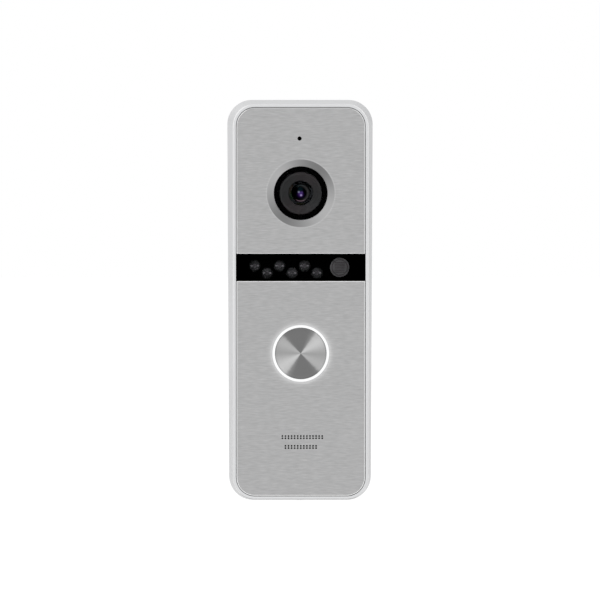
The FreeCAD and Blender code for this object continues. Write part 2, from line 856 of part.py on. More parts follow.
def lens_lock_ring():
    body = turned("lens_lock_ring", [
        ("lens_lock_rear", "mount_bore"), ("lens_lock_rear", "lens_lock_radius"),
        ("lens_lock_front", "lens_lock_radius"), ("lens_lock_front", "mount_bore")],
        z="camera_z")
    return node(body)


def front_lens_element():
    """The domed front element: a short cylinder under a spherical cap."""
    body = new_body("front_lens_element")
    sketch = sketch_on(body, "YZ_Plane")
    crown_base = size("lens_recess_depth")
    crown = size("front_element_crown")
    radius = size("front_element_radius")
    rear = size("front_element_rear")
    sphere = (radius ** 2 + crown ** 2) / (2 * crown)
    middle = crown_base + crown - sphere
    half_angle = math.asin(radius / sphere)
    arc_circle = Part.Circle(Vector(-middle, 0, 0), Vector(0, 0, 1), sphere)
    sketch.addGeometry([
        Part.LineSegment(Vector(-crown_base - crown, 0, 0), Vector(-rear, 0, 0)),
        Part.LineSegment(Vector(-rear, 0, 0), Vector(-rear, radius, 0)),
        Part.LineSegment(Vector(-rear, radius, 0), Vector(-crown_base, radius, 0)),
        Part.ArcOfCircle(arc_circle, math.pi - half_angle, math.pi),
    ], False)
    for ends in ((0, 2, 1, 1), (1, 2, 2, 1), (2, 2, 3, 1), (3, 2, 0, 1)):
        sketch.addConstraint(Sketcher.Constraint("Coincident", *ends))
    sketch.addConstraint(Sketcher.Constraint("PointOnObject", 3, 3, -1))
    sketch.addConstraint(Sketcher.Constraint("Horizontal", 0))
    sketch.addConstraint(Sketcher.Constraint("Vertical", 1))
    sketch.addConstraint(Sketcher.Constraint("Horizontal", 2))
    limit(sketch, "DistanceX", (-1, 1, 0, 1), "-lens_recess_depth - front_element_crown")
    limit(sketch, "DistanceY", (-1, 1, 0, 1), "0")
    limit(sketch, "DistanceX", (-1, 1, 0, 2), "-front_element_rear")
    limit(sketch, "DistanceX", (-1, 1, 2, 2), "-lens_recess_depth")
    limit(sketch, "DistanceY", (-1, 1, 2, 2), "front_element_radius")
    feature = body.newObject("PartDesign::Revolution", "front_lens_element_turn")
    feature.Profile = sketch
    feature.ReferenceAxis = (sketch, ["H_Axis"])
    feature.Angle = 360
    place(body, z="camera_z")
    doc.recompute()
    return node(body)


def lens_stop():
    """The black stop between the elements, which leaves the small dark pupil."""
    body = turned("lens_stop", [
        ("stop_rear", "stop_radius"), ("stop_rear", "lens_bore - thread_clearance"),
        ("stop_front", "lens_bore - thread_clearance"), ("stop_front", "stop_radius")],
        z="camera_z")
    return node(body)


def inner_lens_element():
    body = turned("inner_lens_element", [
        ("inner_element_rear", "0"), ("inner_element_rear", "inner_element_radius"),
        ("inner_element_front - sink_depth / 2", "inner_element_radius"),
        ("inner_element_front", "stop_radius"), ("inner_element_front", "0")], z="camera_z")
    return node(body)


def lens_mount():
    """The square-footed holder that the lens screws into."""
    body = slab("lens_mount", "camera_board_front", "mount_base_front",
                centred("mount_base", "mount_base", "0", "camera_z"), "bay_corner")
    pad(body, "mount_base_front", "mount_front", lambda sketch: circle(
        sketch, "0", "camera_z", "mount_tube_radius"))
    pocket(body, "camera_board_front", "mount_front", lambda sketch: circle(
        sketch, "0", "camera_z", "mount_bore"))
    return node(body)


def camera_board():
    body = slab("camera_board", "camera_board_rear", "camera_board_front",
                centred("camera_board_size", "camera_board_size", "0", "camera_z"),
                "board_corner")
    pocket(body, "camera_board_rear", "camera_board_front", lambda sketch: [
        circle(sketch, x, z, "board_hole_radius") for x, z in CAMERA_POSTS])
    return node(body)


def image_sensor():
    return node(block("image_sensor", "sensor_size", "sensor_size", "camera_board_front",
                      "sensor_front", z="camera_z"))


# ---------------------------------------------------------------- window electronics

def infrared_leds():
    """Six domed infrared diodes in a zigzag."""
    shoulder = "led_tip - led_radius"
    body = turned("infrared_led", [
        ("sight_board_front", "0"), ("sight_board_front", "led_flange_radius"),
        ("sight_board_front + led_flange", "led_flange_radius"),
        ("sight_board_front + led_flange", "led_radius"), (shoulder, "led_radius"),
        (shoulder, "0")])
    dome = doc.addObject("Part::Sphere", "infrared_led_dome")
    bind(dome, "Radius", "led_radius")
    place(dome, depth=shoulder)
    diode = joined("infrared_led_whole", [body, dome])
    return group("infrared_leds", diode, DIODES)


def light_sensor():
    """The round photocell, held near the window by its two leads."""
    cell = rod("light_sensor_cell", "cell_radius", "cell_rear", "cell_front", "cell_x", "cell_z")
    leads = [rod(f"light_sensor_lead_{side}", "cell_lead_radius", "sight_board_front",
                 "cell_rear", f"cell_x {sign} cell_lead_offset", "cell_z")
             for side, sign in (("left", "-"), ("right", "+"))]
    return node(joined("light_sensor", [cell] + leads))


def diode_bezel():
    """The black moulding that fills the web's opening and leaves a hole for each diode."""
    body = slab("diode_bezel", "bezel_rear", "bezel_front", centred(
        "(window_sight_width - 2 * plate_seam)", "(window_sight_height - 2 * plate_seam)",
        "window_sight_x", "window_z"))
    pocket(body, "bezel_rear", "bezel_front", lambda sketch: (
        [circle(sketch, x, z, "bezel_diode_hole") for x, z in DIODES],
        circle(sketch, "cell_x", "cell_z", "bezel_cell_hole")))
    return node(body)


def infrared_board():
    return node(slab("infrared_board", "sight_board_rear", "sight_board_front",
                     centred("sight_board_width", "sight_board_height", "0", "sight_board_z"),
                     "board_corner"))


def infrared_board_spacers():
    pattern = rod("infrared_board_spacer", "spacer_radius", "board_front", "sight_board_rear")
    return gather("infrared_board_spacers", [
        pattern_copy(pattern, f"infrared_board_spacer_{side}", f"{sign}spacer_x", "board_front",
                     "spacer_z") for side, sign in (("left", "-"), ("right", ""))])


def pattern_copy(pattern, label, x, depth, z):
    """A linked copy that keeps the pattern's attitude at a new place."""
    link = doc.addObject("App::Link", label)
    link.setLink(pattern)
    return place(link, x, depth, z, pattern.Placement.Rotation)


def infrared_board_header():
    return node(block("infrared_board_header", "header_width", "header_height", "board_front",
                      "sight_board_rear", z="header_z"))


# ---------------------------------------------------------------- call button

def call_button_cap():
    """The turned metal cap, very slightly dished, with a bevelled rim."""
    body = turned("call_button_cap", [
        ("cap_rear", "0"), ("cap_rear", "cap_radius"), ("cap_front - cap_bevel", "cap_radius"),
        ("cap_front", "cap_radius - cap_bevel"),
        ("cap_front - cap_dish", "cap_radius - 4 * cap_bevel"),
        ("cap_front - cap_dish", "0")], z="button_z")
    return node(body)


def call_button_carrier():
    """The moulded carrier under the cap; its flange stops it from leaving the ring."""
    body = turned("call_button_carrier", [
        ("carrier_stem_rear", "0"), ("carrier_stem_rear", "carrier_stem_radius"),
        ("carrier_flange_rear", "carrier_stem_radius"),
        ("carrier_flange_rear", "carrier_relief_inner"),
        ("carrier_relief_depth", "carrier_relief_inner"),
        ("carrier_relief_depth", "carrier_relief_outer"),
        ("carrier_flange_rear", "carrier_relief_outer"),
        ("carrier_flange_rear", "carrier_flange_radius"),
        ("carrier_flange_front", "carrier_flange_radius"),
        ("carrier_flange_front", "cap_radius"), ("cap_rear", "cap_radius"), ("cap_rear", "0")],
        z="button_z")
    return node(body)


def button_light_ring():
    """The translucent ring: a sleeve around the button with a skirt down to its diodes."""
    body = turned("button_light_ring", [
        ("ring_skirt_rear", "ring_skirt_inner"), ("ring_skirt_rear", "ring_skirt_outer"),
        ("ring_shoulder_front", "ring_skirt_outer"), ("ring_shoulder_front", "ring_outer"),
        ("ring_front", "ring_outer"), ("ring_front", "ring_inner"),
        ("ring_shoulder_rear", "ring_inner"), ("ring_shoulder_rear", "ring_skirt_inner")],
        z="button_z")
    return node(body)


def call_button_spring():
    """The return spring between the main board and the carrier: a wire along a coil."""
    wire = size("spring_wire")
    low = size("board_front") + wire
    rise = size("carrier_flange_rear") - wire - low
    turns = round(size("spring_turns"))
    points = []
    for step in range(turns * COIL_STEPS + 1):
        share = step / (turns * COIL_STEPS)
        angle = 2 * math.pi * turns * share
        points.append((size("spring_radius") * math.cos(angle), low + rise * share,
                       size("button_z") + size("spring_radius") * math.sin(angle)))
    return node(cable("call_button_spring", points, "spring_wire"))


def switch_body():
    """The square tactile switch under the button."""
    body = slab("switch_body", "board_front", "switch_front",
                centred("switch_size", "switch_size", "0", "button_z"))
    pocket(body, "switch_bore_rear", "switch_front", lambda sketch: circle(
        sketch, "0", "button_z", "switch_bore"))
    return node(body)


def switch_plunger():
    """The plunger, with room behind it for the button's whole travel."""
    return node(rod("switch_plunger", "plunger_radius",
                    "switch_bore_rear + button_travel + button_overtravel", "plunger_front",
                    z="button_z"))


def ring_leds():
    """Small diodes on the board that feed the lit ring, set around the button's axis."""
    chips = []
    count = round(size("ring_led_count"))
    for index in range(count):
        angle = 360.0 / count * (index + 0.5)
        chip = doc.addObject("Part::Box", f"ring_led_{index + 1}")
        bind(chip, "Length", "ring_led_length")
        bind(chip, "Width", "ring_led_height")
        bind(chip, "Height", "ring_led_width")
        turn = Rotation(Vector(0, -1, 0), angle - 90)
        corner = turn.multVec(Vector(-size("ring_led_length") / 2, 0, -size("ring_led_width") / 2))
        chip.Placement = Placement(Vector(), turn)
        bind(chip, "Placement.Base.x", f"ring_led_circle * cos({angle}) + {corner.x}")
        bind(chip, "Placement.Base.y", "-board_front - ring_led_height")
        bind(chip, "Placement.Base.z", f"button_z + ring_led_circle * sin({angle}) + {corner.z}")
        chips.append(chip)
    return gather("ring_leds", chips)


# ---------------------------------------------------------------- speaker and microphone

def speaker_mesh():
    """The fine dust mesh behind the grille holes."""
    return node(slab("speaker_mesh", "mesh_rear", "mesh_front", centred(
        "(sound_slot_width + 2 * mesh_margin - plate_seam)",
        "(sound_slot_height + 2 * mesh_margin - plate_seam)", "0", "speaker_z"),
        "mesh_margin - plate_seam / 2"))


def speaker_gasket():
    return node(turned("speaker_gasket", [
        ("speaker_front", "speaker_rim_inner"), ("speaker_front", "speaker_radius"),
        ("web_rear", "speaker_radius"), ("web_rear", "speaker_rim_inner")], z="speaker_z"))


def speaker_frame():
    """The pressed basket that carries the cone and the magnet."""
    return node(turned("speaker_frame", [
        ("basket_rear", "cone_cap_radius"), ("basket_rear", "basket_radius"),
        ("speaker_rim_rear", "speaker_rim_inner"), ("speaker_rim_rear", "speaker_radius"),
        ("speaker_front", "speaker_radius"), ("speaker_front", "speaker_rim_inner"),
        ("speaker_rim_rear + basket_wall", "speaker_rim_inner - basket_wall"),
        ("basket_rear + basket_wall", "basket_radius - basket_wall"),
        ("basket_rear + basket_wall", "cone_cap_radius")], z="speaker_z"))


def speaker_magnet():
    return node(turned("speaker_magnet", [
        ("magnet_rear", "0"), ("magnet_rear", "magnet_radius"), ("basket_rear", "magnet_radius"),
        ("basket_rear", "0")], z="speaker_z"))


def speaker_cone():
    """The thin cone and its dust cap, hung from the basket's rim."""
    rim = "speaker_rim_rear + basket_wall"
    edge = "speaker_rim_inner - basket_wall"
    return node(turned("speaker_cone", [
        (f"{rim}", edge), (f"{rim} + cone_thickness", edge),
        ("cone_depth + cone_thickness", "cone_cap_radius"),
        ("cone_depth + sink_depth + cone_thickness", "0"), ("cone_depth + sink_depth", "0"),
        ("cone_depth", "cone_cap_radius")], z="speaker_z"))


def microphone_capsule():
    return node(rod("microphone_capsule", "capsule_radius", "capsule_rear", "capsule_front",
                    "microphone_x", "microphone_z"))


def microphone_boot():
    """The rubber boot that seals the capsule against the web and leaves a sound passage."""
    body = turned("microphone_boot", [
        ("boot_rear", "boot_cable_hole"), ("boot_rear", "boot_radius"),
        ("web_rear", "boot_radius"), ("web_rear", "microphone_passage"),
        ("capsule_front", "microphone_passage"), ("capsule_front", "capsule_radius"),
        ("capsule_rear", "capsule_radius"), ("capsule_rear", "boot_cable_hole")],
        "microphone_x", "microphone_z")
    return node(body)


# ---------------------------------------------------------------- main board

def main_board():
    half = "board_width / 2"
    body = slab("main_board", "board_rear", "board_front",
                rectangle(f"-{half}", half, "board_bottom", "board_top"), "board_corner")
    pocket(body, "board_rear", "board_front", lambda sketch: [
        circle(sketch, x, z, "board_hole_radius") for x, z in BOARD_POSTS])
    return node(body)


def board_chips():
    """Processor, video and audio chips on the front of the board."""
    chips = (("processor", "processor_size", "processor_size", "processor_x", "processor_z"),
             ("video", "video_chip_size", "video_chip_size", "video_chip_x", "video_chip_z"),
             ("audio", "audio_chip_width", "audio_chip_height", "audio_chip_x", "audio_chip_z"))
    return gather("board_chips", [
        block(f"board_chip_{name}", width, height, "board_front", "board_front + chip_height",
              x, z)
        for name, width, height, x, z in chips])


def board_capacitors():
    pattern = rod("board_capacitor", "capacitor_radius", "board_front",
                  "board_front + capacitor_height")
    places = [(x, f"{z} - {row} * capacitor_pitch")
              for x, z in (("-capacitor_x", "capacitor_left_z"), ("capacitor_x", "capacitor_right_z"))
              for row in (0, 1)]
    return gather("board_capacitors", [
        pattern_copy(pattern, f"board_capacitor_{index}", x, "board_front", z)
        for index, (x, z) in enumerate(places, start=1)])


def board_connectors():
    """Plug-in sockets on the board: speaker and microphone in front, the pigtail's behind."""
    front = [block(f"board_connector_{name}", "connector_width", "connector_height",
                   "board_front", "board_front + connector_depth", x, z)
             for name, x, z in (("speaker", "speaker_socket_x", SPEAKER_SOCKET_Z),
                                ("microphone", "microphone_socket_x", "microphone_socket_z"))]
    socket = block("board_connector_pigtail", "pigtail_socket_width", "pigtail_socket_height",
                   "pigtail_socket_rear", "board_rear", "grommet_x",
                   "board_bottom + board_edge + pigtail_socket_height / 2")
    ribbon = block("board_connector_ribbon", "ribbon_width + 4 * ribbon_thickness", "ribbon_socket_height",
                   "ribbon_socket_rear", "board_rear", z="ribbon_socket_z")
    return gather("board_connectors", front + [socket, ribbon])


SPEAKER_SOCKET_Z = "board_bottom + board_edge + connector_height / 2"


def trimmer_body():
    """The volume trimmer's housing behind the board."""
    body = slab("trimmer_body", "trimmer_rear", "board_rear",
                centred("trimmer_size", "trimmer_size", "trimmer_x", "trimmer_z"),
                "plate_seam * 2")
    pocket(body, "trimmer_rear", "trimmer_bore_front", lambda sketch: circle(
        sketch, "trimmer_x", "trimmer_z", "trimmer_bore"))
    return node(body)


def trimmer_rotor():
    """The slotted disc that an installer turns with a small screwdriver."""
    body = new_body("trimmer_rotor")
    pad(body, "rotor_rear", "rotor_front", lambda sketch: circle(
        sketch, "trimmer_x", "trimmer_z", "rotor_radius"))
    pocket(body, "rotor_rear", "rotor_rear + rotor_slot_depth", lambda sketch: outline(
        sketch, centred("rotor_slot_width", "rotor_slot_length", "trimmer_x", "trimmer_z")))
    return node(body)


def small_screw():
    """The pan-head screw that holds the boards; its head's rear face is at depth 0."""
    body = turned("small_screw", [
        ("0", "0"), ("0", "small_screw_head - cap_bevel"), ("cap_bevel", "small_screw_head"),
        ("small_screw_head_height", "small_screw_head"),
        ("small_screw_head_height", "small_screw_thread"),
        ("small_screw_head_height + small_screw_length", "small_screw_thread"),
        ("small_screw_head_height + small_screw_length", "0")])
    return cross_recess(body, "0")


def screw_set(label, pattern, posts, depth):
    """Copies of a screw at the posts, their heads' rear faces at a depth."""
    return gather(label, [pattern_copy(pattern, f"{label}_{index}", x, depth, z)
                          for index, (x, z) in enumerate(posts, start=1)])


# ---------------------------------------------------------------- rear side

def rear_cover():
    """The moulded cover: a flat panel with a wiring bay, hook slots and a trimmer hole."""
    body = slab("rear_cover", "cover_rear", "cover_front",
                tapered("cover_width", "cover_height"), "cover_corner")
    bay_low, bay_high = "bay_bottom - bay_wall", "bay_top + bay_wall"
    half = "bay_width / 2"
    pad(body, "cover_front", "bay_floor + bay_wall", lambda sketch: outline(
        sketch, rectangle(f"-({half} + bay_wall)", f"{half} + bay_wall", bay_low, bay_high),
        "bay_corner + bay_wall"))
    pocket(body, "cover_rear", "bay_floor", lambda sketch: outline(
        sketch, rectangle(f"-{half}", half, "bay_bottom", "bay_top"), "bay_corner"))
    pocket(body, "cover_rear", "cover_front", lambda sketch: (
        [outline(sketch, centred("hook_slot_width", "hook_slot_height", f"{sign}hook_x",
                                 "hook_z + bracket_thickness - hook_slot_height / 2 + plate_seam"))
         for sign in ("-", "")],
        [circle(sketch, x, z, "cover_screw_hole") for x, z in COVER_POSTS],
        circle(sketch, "trimmer_x", "trimmer_z", "trimmer_access")))
    pocket(body, "cover_rear", "cover_rear + cover_panel_depth", lambda sketch: outline(
        sketch, rectangle("-bracket_window_width / 2 + bracket_thickness",
                          "bracket_window_width / 2 - bracket_thickness",
                          "0", "bracket_window_height / 2 - bracket_thickness"), "bay_corner"))
    for index, (x, z) in enumerate(COVER_POSTS):
        cover_countersink(body, x, z)
    grommet_hole(body)
    return node(body)


def cover_countersink(body, x, z):
    """The conical seat of one cover screw."""
    edge_name = edge_of_circle(body.Tip.Shape, "cover_rear", x, z, "cover_screw_hole")
    base = body.Tip
    feature = body.newObject("PartDesign::Chamfer", "rear_cover_countersink")
    feature.Base = (base, [edge_name])
    bind(feature, "Size", "cover_screw_head - cover_screw_hole")
    doc.recompute()


def edge_of_circle(shape, depth, x, z, radius):
    """The name of a circular edge, found by its plane, centre and radius."""
    close = 0.01
    centre = Vector(size(x), -size(depth), size(z))
    for index, edge in enumerate(shape.Edges, start=1):
        curve = edge.Curve
        if curve.TypeId == "Part::GeomCircle" and curve.Center.distanceToPoint(centre) < close \
                and abs(curve.Radius - size(radius)) < close:
            return f"Edge{index}"
    raise RuntimeError("no such circular edge")


def grommet_hole(body):
    """The opening in the bay's upper wall that the grommet fills."""
    before = body.Shape.Volume
    sketch = sketch_on(body, "XY_Plane", "bay_top - bay_corner")
    outline(sketch, grommet_outline("thread_clearance"), "grommet_corner")
    feature = body.newObject("PartDesign::Pocket", "rear_cover_grommet_hole")
    feature.Profile = sketch
    feature.Reversed = True
    bind(feature, "Length", "bay_corner + 2 * bay_wall")
    doc.recompute()
    if not body.Shape.Volume < before:
        raise RuntimeError("the grommet hole removed nothing")


def grommet_outline(margin):
    """The grommet's neck seen along Z, widened by a margin on each side."""
    return centred(f"(grommet_width + 2 * {margin})", f"(grommet_height + 2 * {margin})",
                   "grommet_x", "(-grommet_depth)")


def rear_cover_seal():
    """The flat rubber frame between the cover and the casing's ledge."""
    body = slab("rear_cover_seal", "cover_front", "ledge_depth",
                tapered("seal_outer_width", "seal_outer_height"), "seal_outer_corner")
    pocket(body, "cover_front", "ledge_depth", lambda sketch: outline(
        sketch, tapered("seal_inner_width", "seal_inner_height"), "seal_inner_corner"))
    return node(body)


def cover_screw():
    """The countersunk screw of the rear cover; its head's face is at depth 0."""
    body = turned("cover_screw", [
        ("0", "0"), ("0", "cover_screw_head - thread_clearance"),
        ("cover_screw_head - cover_screw_thread", "cover_screw_thread"),
        ("cover_screw_length", "cover_screw_thread"), ("cover_screw_length", "0")])
    return cross_recess(body, "0")


def wire_grommet():
    """The rubber bush in the bay's wall, with one hole for each wire."""
    body = new_body("wire_grommet")
    inner, outer = "bay_top", "bay_top + bay_wall"
    for low, high, margin in ((f"{inner} - grommet_lip", inner, "grommet_flange"),
                              (inner, outer, "0"),
                              (outer, f"{outer} + grommet_lip", "grommet_flange")):
        sketch = sketch_on(body, "XY_Plane", low)
        outline(sketch, grommet_outline(margin), "grommet_corner")
        feature = body.newObject("PartDesign::Pad", "wire_grommet_pad")
        feature.Profile = sketch
        bind(feature, "Length", f"{high} - ({low})")
        doc.recompute()
    before = body.Shape.Volume
    sketch = sketch_on(body, "XY_Plane", f"{inner} - grommet_lip")
    for index in range(4):
        circle(sketch, wire_x(index), "-grommet_depth", "wire_passage")
    feature = body.newObject("PartDesign::Pocket", "wire_grommet_passages")
    feature.Profile = sketch
    feature.Reversed = True
    bind(feature, "Length", "bay_wall + 2 * grommet_lip")
    doc.recompute()
    if not body.Shape.Volume < before:
        raise RuntimeError("the grommet's passages removed nothing")
    return node(body)


def wire_x(index):
    """Where one of the four pigtail wires passes the grommet."""
    return f"grommet_x + ({index} - 1.5) * wire_pitch"


def pigtail_wires():
    """Four wires from the board's socket through the grommet, then sideways into the plug."""
    depth = size("grommet_depth")
    bend = size("wire_bend")
    rise = size("wire_bend_rise")
    plug_depth = size("plug_rear + plug_depth / 2")
    plug_x = size("plug_x")
    socket = size("board_bottom + board_edge - thread_clearance")
    passage = size("bay_top - grommet_lip")
    gap = size("thread_clearance")
    wires = []
    for index in range(4):
        x = size(wire_x(index))
        pin = size(f"plug_z + ({index} - 1.5) * plug_pitch")
        points = [(x, depth, socket), (x, depth, (socket + passage) / 2), (x, depth, passage)]
        if passage - pin > 3 * bend:
            points.append((x, depth, pin + 2 * bend))
        points += [(x + bend / 3, depth - rise / 3, pin + bend / 3), (x + bend, depth - rise, pin),
                   (plug_x - 0.4 * bend, plug_depth, pin), (plug_x - gap, plug_depth, pin)]
        wires.append(cable(f"pigtail_wire_{index + 1}", points, "wire_radius"))
    return gather("pigtail_wires", wires)


def pigtail_plug():
    return node(slab("pigtail_plug", "plug_rear", "plug_rear + plug_depth", rectangle(
        "plug_x", "plug_x + plug_length", "plug_z - plug_height / 2", "plug_z + plug_height / 2"),
        "plate_seam"))


def mounting_bracket():
    """The steel wall bracket: slots for wall screws, two hooks above and a threaded tab below."""
    half = "bracket_width / 2"
    t = "bracket_thickness"
    body = slab("mounting_bracket", "0", t, rectangle(
        f"-{half}", half, "bracket_bottom", "bracket_top"), "bracket_corner")
    pocket(body, "0", t, lambda sketch: (
        [slot(sketch, "0", f"{sign}wall_slot_z", "wall_slot_radius", "wall_slot_length")
         for sign in ("", "-")],
        outline(sketch, centred("bracket_window_width", "bracket_window_height"),
                "bracket_window_corner"),
        outline(sketch, rectangle("bracket_thickness - bay_width / 2",
                                  "bay_width / 2 - bracket_thickness", "bay_bottom",
                                  "bay_top"), "bracket_window_corner"),
        [outline(sketch, rectangle(f"{sign}hook_x - hook_width / 2 - plate_seam",
                                   f"{sign}hook_x + hook_width / 2 + plate_seam",
                                   "hook_z - hook_lip_front - hook_lip_height", "hook_z"),
                 "plate_seam") for sign in ("-", "")]))
    pad(body, t, "flange_front", lambda sketch: [
        outline(sketch, rectangle(low, high, "flange_bottom", "flange_top"))
        for low, high in ((f"-{half}", f"-{half} + {t}"), (f"{half} - {t}", half))])
    pad(body, t, "hook_lip_front", lambda sketch: [
        outline(sketch, rectangle(f"{sign}hook_x - hook_width / 2", f"{sign}hook_x + hook_width / 2",
                                  "hook_z", f"hook_z + {t}")) for sign in ("-", "")])
    pad(body, "hook_lip_rear", "hook_lip_front", lambda sketch: [
        outline(sketch, rectangle(f"{sign}hook_x - hook_width / 2", f"{sign}hook_x + hook_width / 2",
                                  "hook_z", f"hook_z + {t} + hook_lip_height"))
        for sign in ("-", "")])
    pad(body, t, "lock_tab_front", lambda sketch: outline(sketch, rectangle(
        "-lock_tab_width / 2", "lock_tab_width / 2", "bracket_bottom",
        f"bracket_bottom + {t}")))
    lock_tab_hole(body)
    return node(body)


def lock_tab_hole(body):
    before = body.Shape.Volume
    sketch = sketch_on(body, "XY_Plane", "bracket_bottom")
    circle(sketch, "0", "-lock_depth", "lock_thread + thread_clearance")
    feature = body.newObject("PartDesign::Pocket", "mounting_bracket_lock_hole")
    feature.Profile = sketch
    feature.Reversed = True
    bind(feature, "Length", "bracket_thickness")
    doc.recompute()
    if not body.Shape.Volume < before:
        raise RuntimeError("the bracket's lock hole removed nothing")


def locking_screw():
    """The countersunk screw under the body that locks it to the bracket."""
    body = turned("locking_screw", [
        ("0", "0"), ("0", "lock_head - thread_clearance"), ("lock_head_height", "lock_thread"),
        ("lock_length", "lock_thread"), ("lock_length", "0")],
        "0", "lock_head_z", "lock_depth", UPWARD)
    return node(cross_recess(body, "0"))


# ---------------------------------------------------------------- inner wiring

def speaker_wires():
    """Two short wires from behind the basket up to the speaker's socket."""
    half_gap = size("thin_wire_gap / 2")
    x = size("speaker_socket_x")
    socket = size("board_bottom + board_edge")
    socket_depth = size("board_front + connector_depth / 2")
    start = size("speaker_z + basket_radius + capsule_radius / 2")
    start_depth = size("basket_rear + sink_depth / 3")
    straight = size("thin_wire_straight")
    ease = size("thin_wire_ease")
    return gather("speaker_wires", [cable(f"speaker_wire_{index}", [
        (x + side, start_depth, start), (x + side, start_depth - ease, start + straight),
        (x + side, socket_depth + ease, socket - straight), (x + side, socket_depth, socket)],
        "thin_wire_radius") for index, side in enumerate((-half_gap, half_gap), start=1)])


def microphone_wires():
    """Two wires from the capsule, down beside the lens and under the infrared board."""
    half_gap = size("thin_wire_gap / 2")
    ease = size("thin_wire_ease")
    start_x = size("microphone_x")
    start_depth = size("capsule_rear - thread_clearance")
    start_z = size("microphone_z")
    post = size("camera_post_radius")
    lane_x = size("-camera_post_spacing / 2 - 2.4 * camera_post_radius")
    lane_depth = size("capsule_rear - wire_lane_drop")
    lane_top = size("camera_z + camera_post_spacing / 2")
    lane_foot = size("camera_z - camera_post_spacing / 2 + 2 * camera_post_radius")
    under = size("sight_board_z + sight_board_height / 2")
    socket_x = size("microphone_socket_x")
    socket_z = size("microphone_socket_z + connector_height / 2")
    socket_depth = size("board_front + thin_wire_radius + wire_radius - board_edge")
    wires = []
    for index, side in enumerate((-half_gap, half_gap), start=1):
        x, end_x, depth = start_x + side, socket_x + side, lane_depth - side
        points = [
            (x, start_depth, start_z), (x, start_depth - 1.5 * ease, start_z),
            (x, start_depth - 4.5 * ease, start_z - ease / 2),
            (lane_x / 3, depth, start_z - post), (0.8 * lane_x, depth, lane_top + 2 * post),
            (lane_x, depth, lane_top - post / 2), (lane_x, depth, (lane_top + lane_foot) / 2),
            (lane_x, depth, lane_foot), (lane_x + post, depth - 2 * ease, under + 3 * post),
            (end_x + 2 * ease, socket_depth + 2 * ease, under + post),
            (end_x + 2 * ease, socket_depth, under),
            (end_x, socket_depth, socket_z + 2.5 * post),
            (end_x, socket_depth, socket_z + 4 * ease),
            (end_x, socket_depth, socket_z)]
        wires.append(cable(f"microphone_wire_{index}", points, "thin_wire_radius"))
    return gather("microphone_wires", wires)


def camera_ribbon():
    """The flat cable from the camera board down to its socket behind the main board."""
    body = new_body("camera_ribbon")
    sketch = sketch_on(body, "YZ_Plane", "-ribbon_width / 2")
    thick = "ribbon_thickness"
    upper = "camera_z - camera_board_size / 2 + bay_wall"
    foot = "ribbon_socket_z - ribbon_socket_height / 2"
    knee = "board_top - ribbon_socket_height / 2"
    board, socket = "-camera_board_rear", "-ribbon_socket_rear"
    outline(sketch, [
        (board, upper), (f"{board} + {thick}", upper), (f"{board} + {thick}", knee),
        (f"{socket} + {thick}", "ribbon_socket_z"), (f"{socket} + {thick}", foot),
        (socket, foot), (socket, "ribbon_socket_z"), (board, knee)])
    feature = body.newObject("PartDesign::Pad", "camera_ribbon_pad")
    feature.Profile = sketch
    bind(feature, "Length", "ribbon_width")
    doc.recompute()
    return node(body)


# ---------------------------------------------------------------- build and write

def build():
    front_casing()
    upper_face_plate()
    lower_face_plate()
    plate_adhesive()
    sensor_window()
    camera_cover_glass()
    glass_mask_ring()
    lens_barrel()
    lens_lock_ring()
    front_lens_element()
    lens_stop()
    inner_lens_element()
    lens_mount()
    image_sensor()
    camera_board()
    infrared_leds()
    light_sensor()
    diode_bezel()
    infrared_board()
    infrared_board_spacers()
    infrared_board_header()
    call_button_cap()
    call_button_carrier()
    button_light_ring()
    call_button_spring()
    switch_body()
    switch_plunger()
    ring_leds()
    speaker_mesh()
    speaker_gasket()
    speaker_frame()
    speaker_magnet()
    speaker_cone()
    microphone_capsule()
    microphone_boot()
    main_board()
    board_chips()
    board_capacitors()
    board_connectors()
    trimmer_body()
    trimmer_rotor()
    board_screw = small_screw()
    screw_set("main_board_screws", board_screw, BOARD_POSTS,
              "board_rear - small_screw_head_height")
    screw_set("camera_board_screws", board_screw, CAMERA_POSTS,
              "camera_board_rear - small_screw_head_height")
    rear_cover()
    rear_cover_seal()
    screw_set("rear_cover_screws", cover_screw(), COVER_POSTS, "cover_rear")
    wire_grommet()
    pigtail_wires()
    pigtail_plug()
    speaker_wires()
    microphone_wires()
    camera_ribbon()
    mounting_bracket()
    locking_screw()


def check():
    """Stops if any object failed or any piece is empty or broken."""
    doc.recompute()
    for thing in doc.Objects:
        if "Invalid" in thing.State or "Error" in thing.State:
            raise RuntimeError(f"{thing.Name} failed: {thing.State}")
    for thing in nodes:
        if thing.Shape.isNull() or not thing.Shape.isValid() or not thing.Shape.Solids:
            raise RuntimeError(f"{thing.Label} has no valid solid")


build()
check()
os.makedirs("parts", exist_ok=True)
for thing in nodes:
    thing.Shape.exportStep(os.path.join("parts", thing.Label + ".step"))
print(len(nodes), "pieces written")
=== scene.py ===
import math

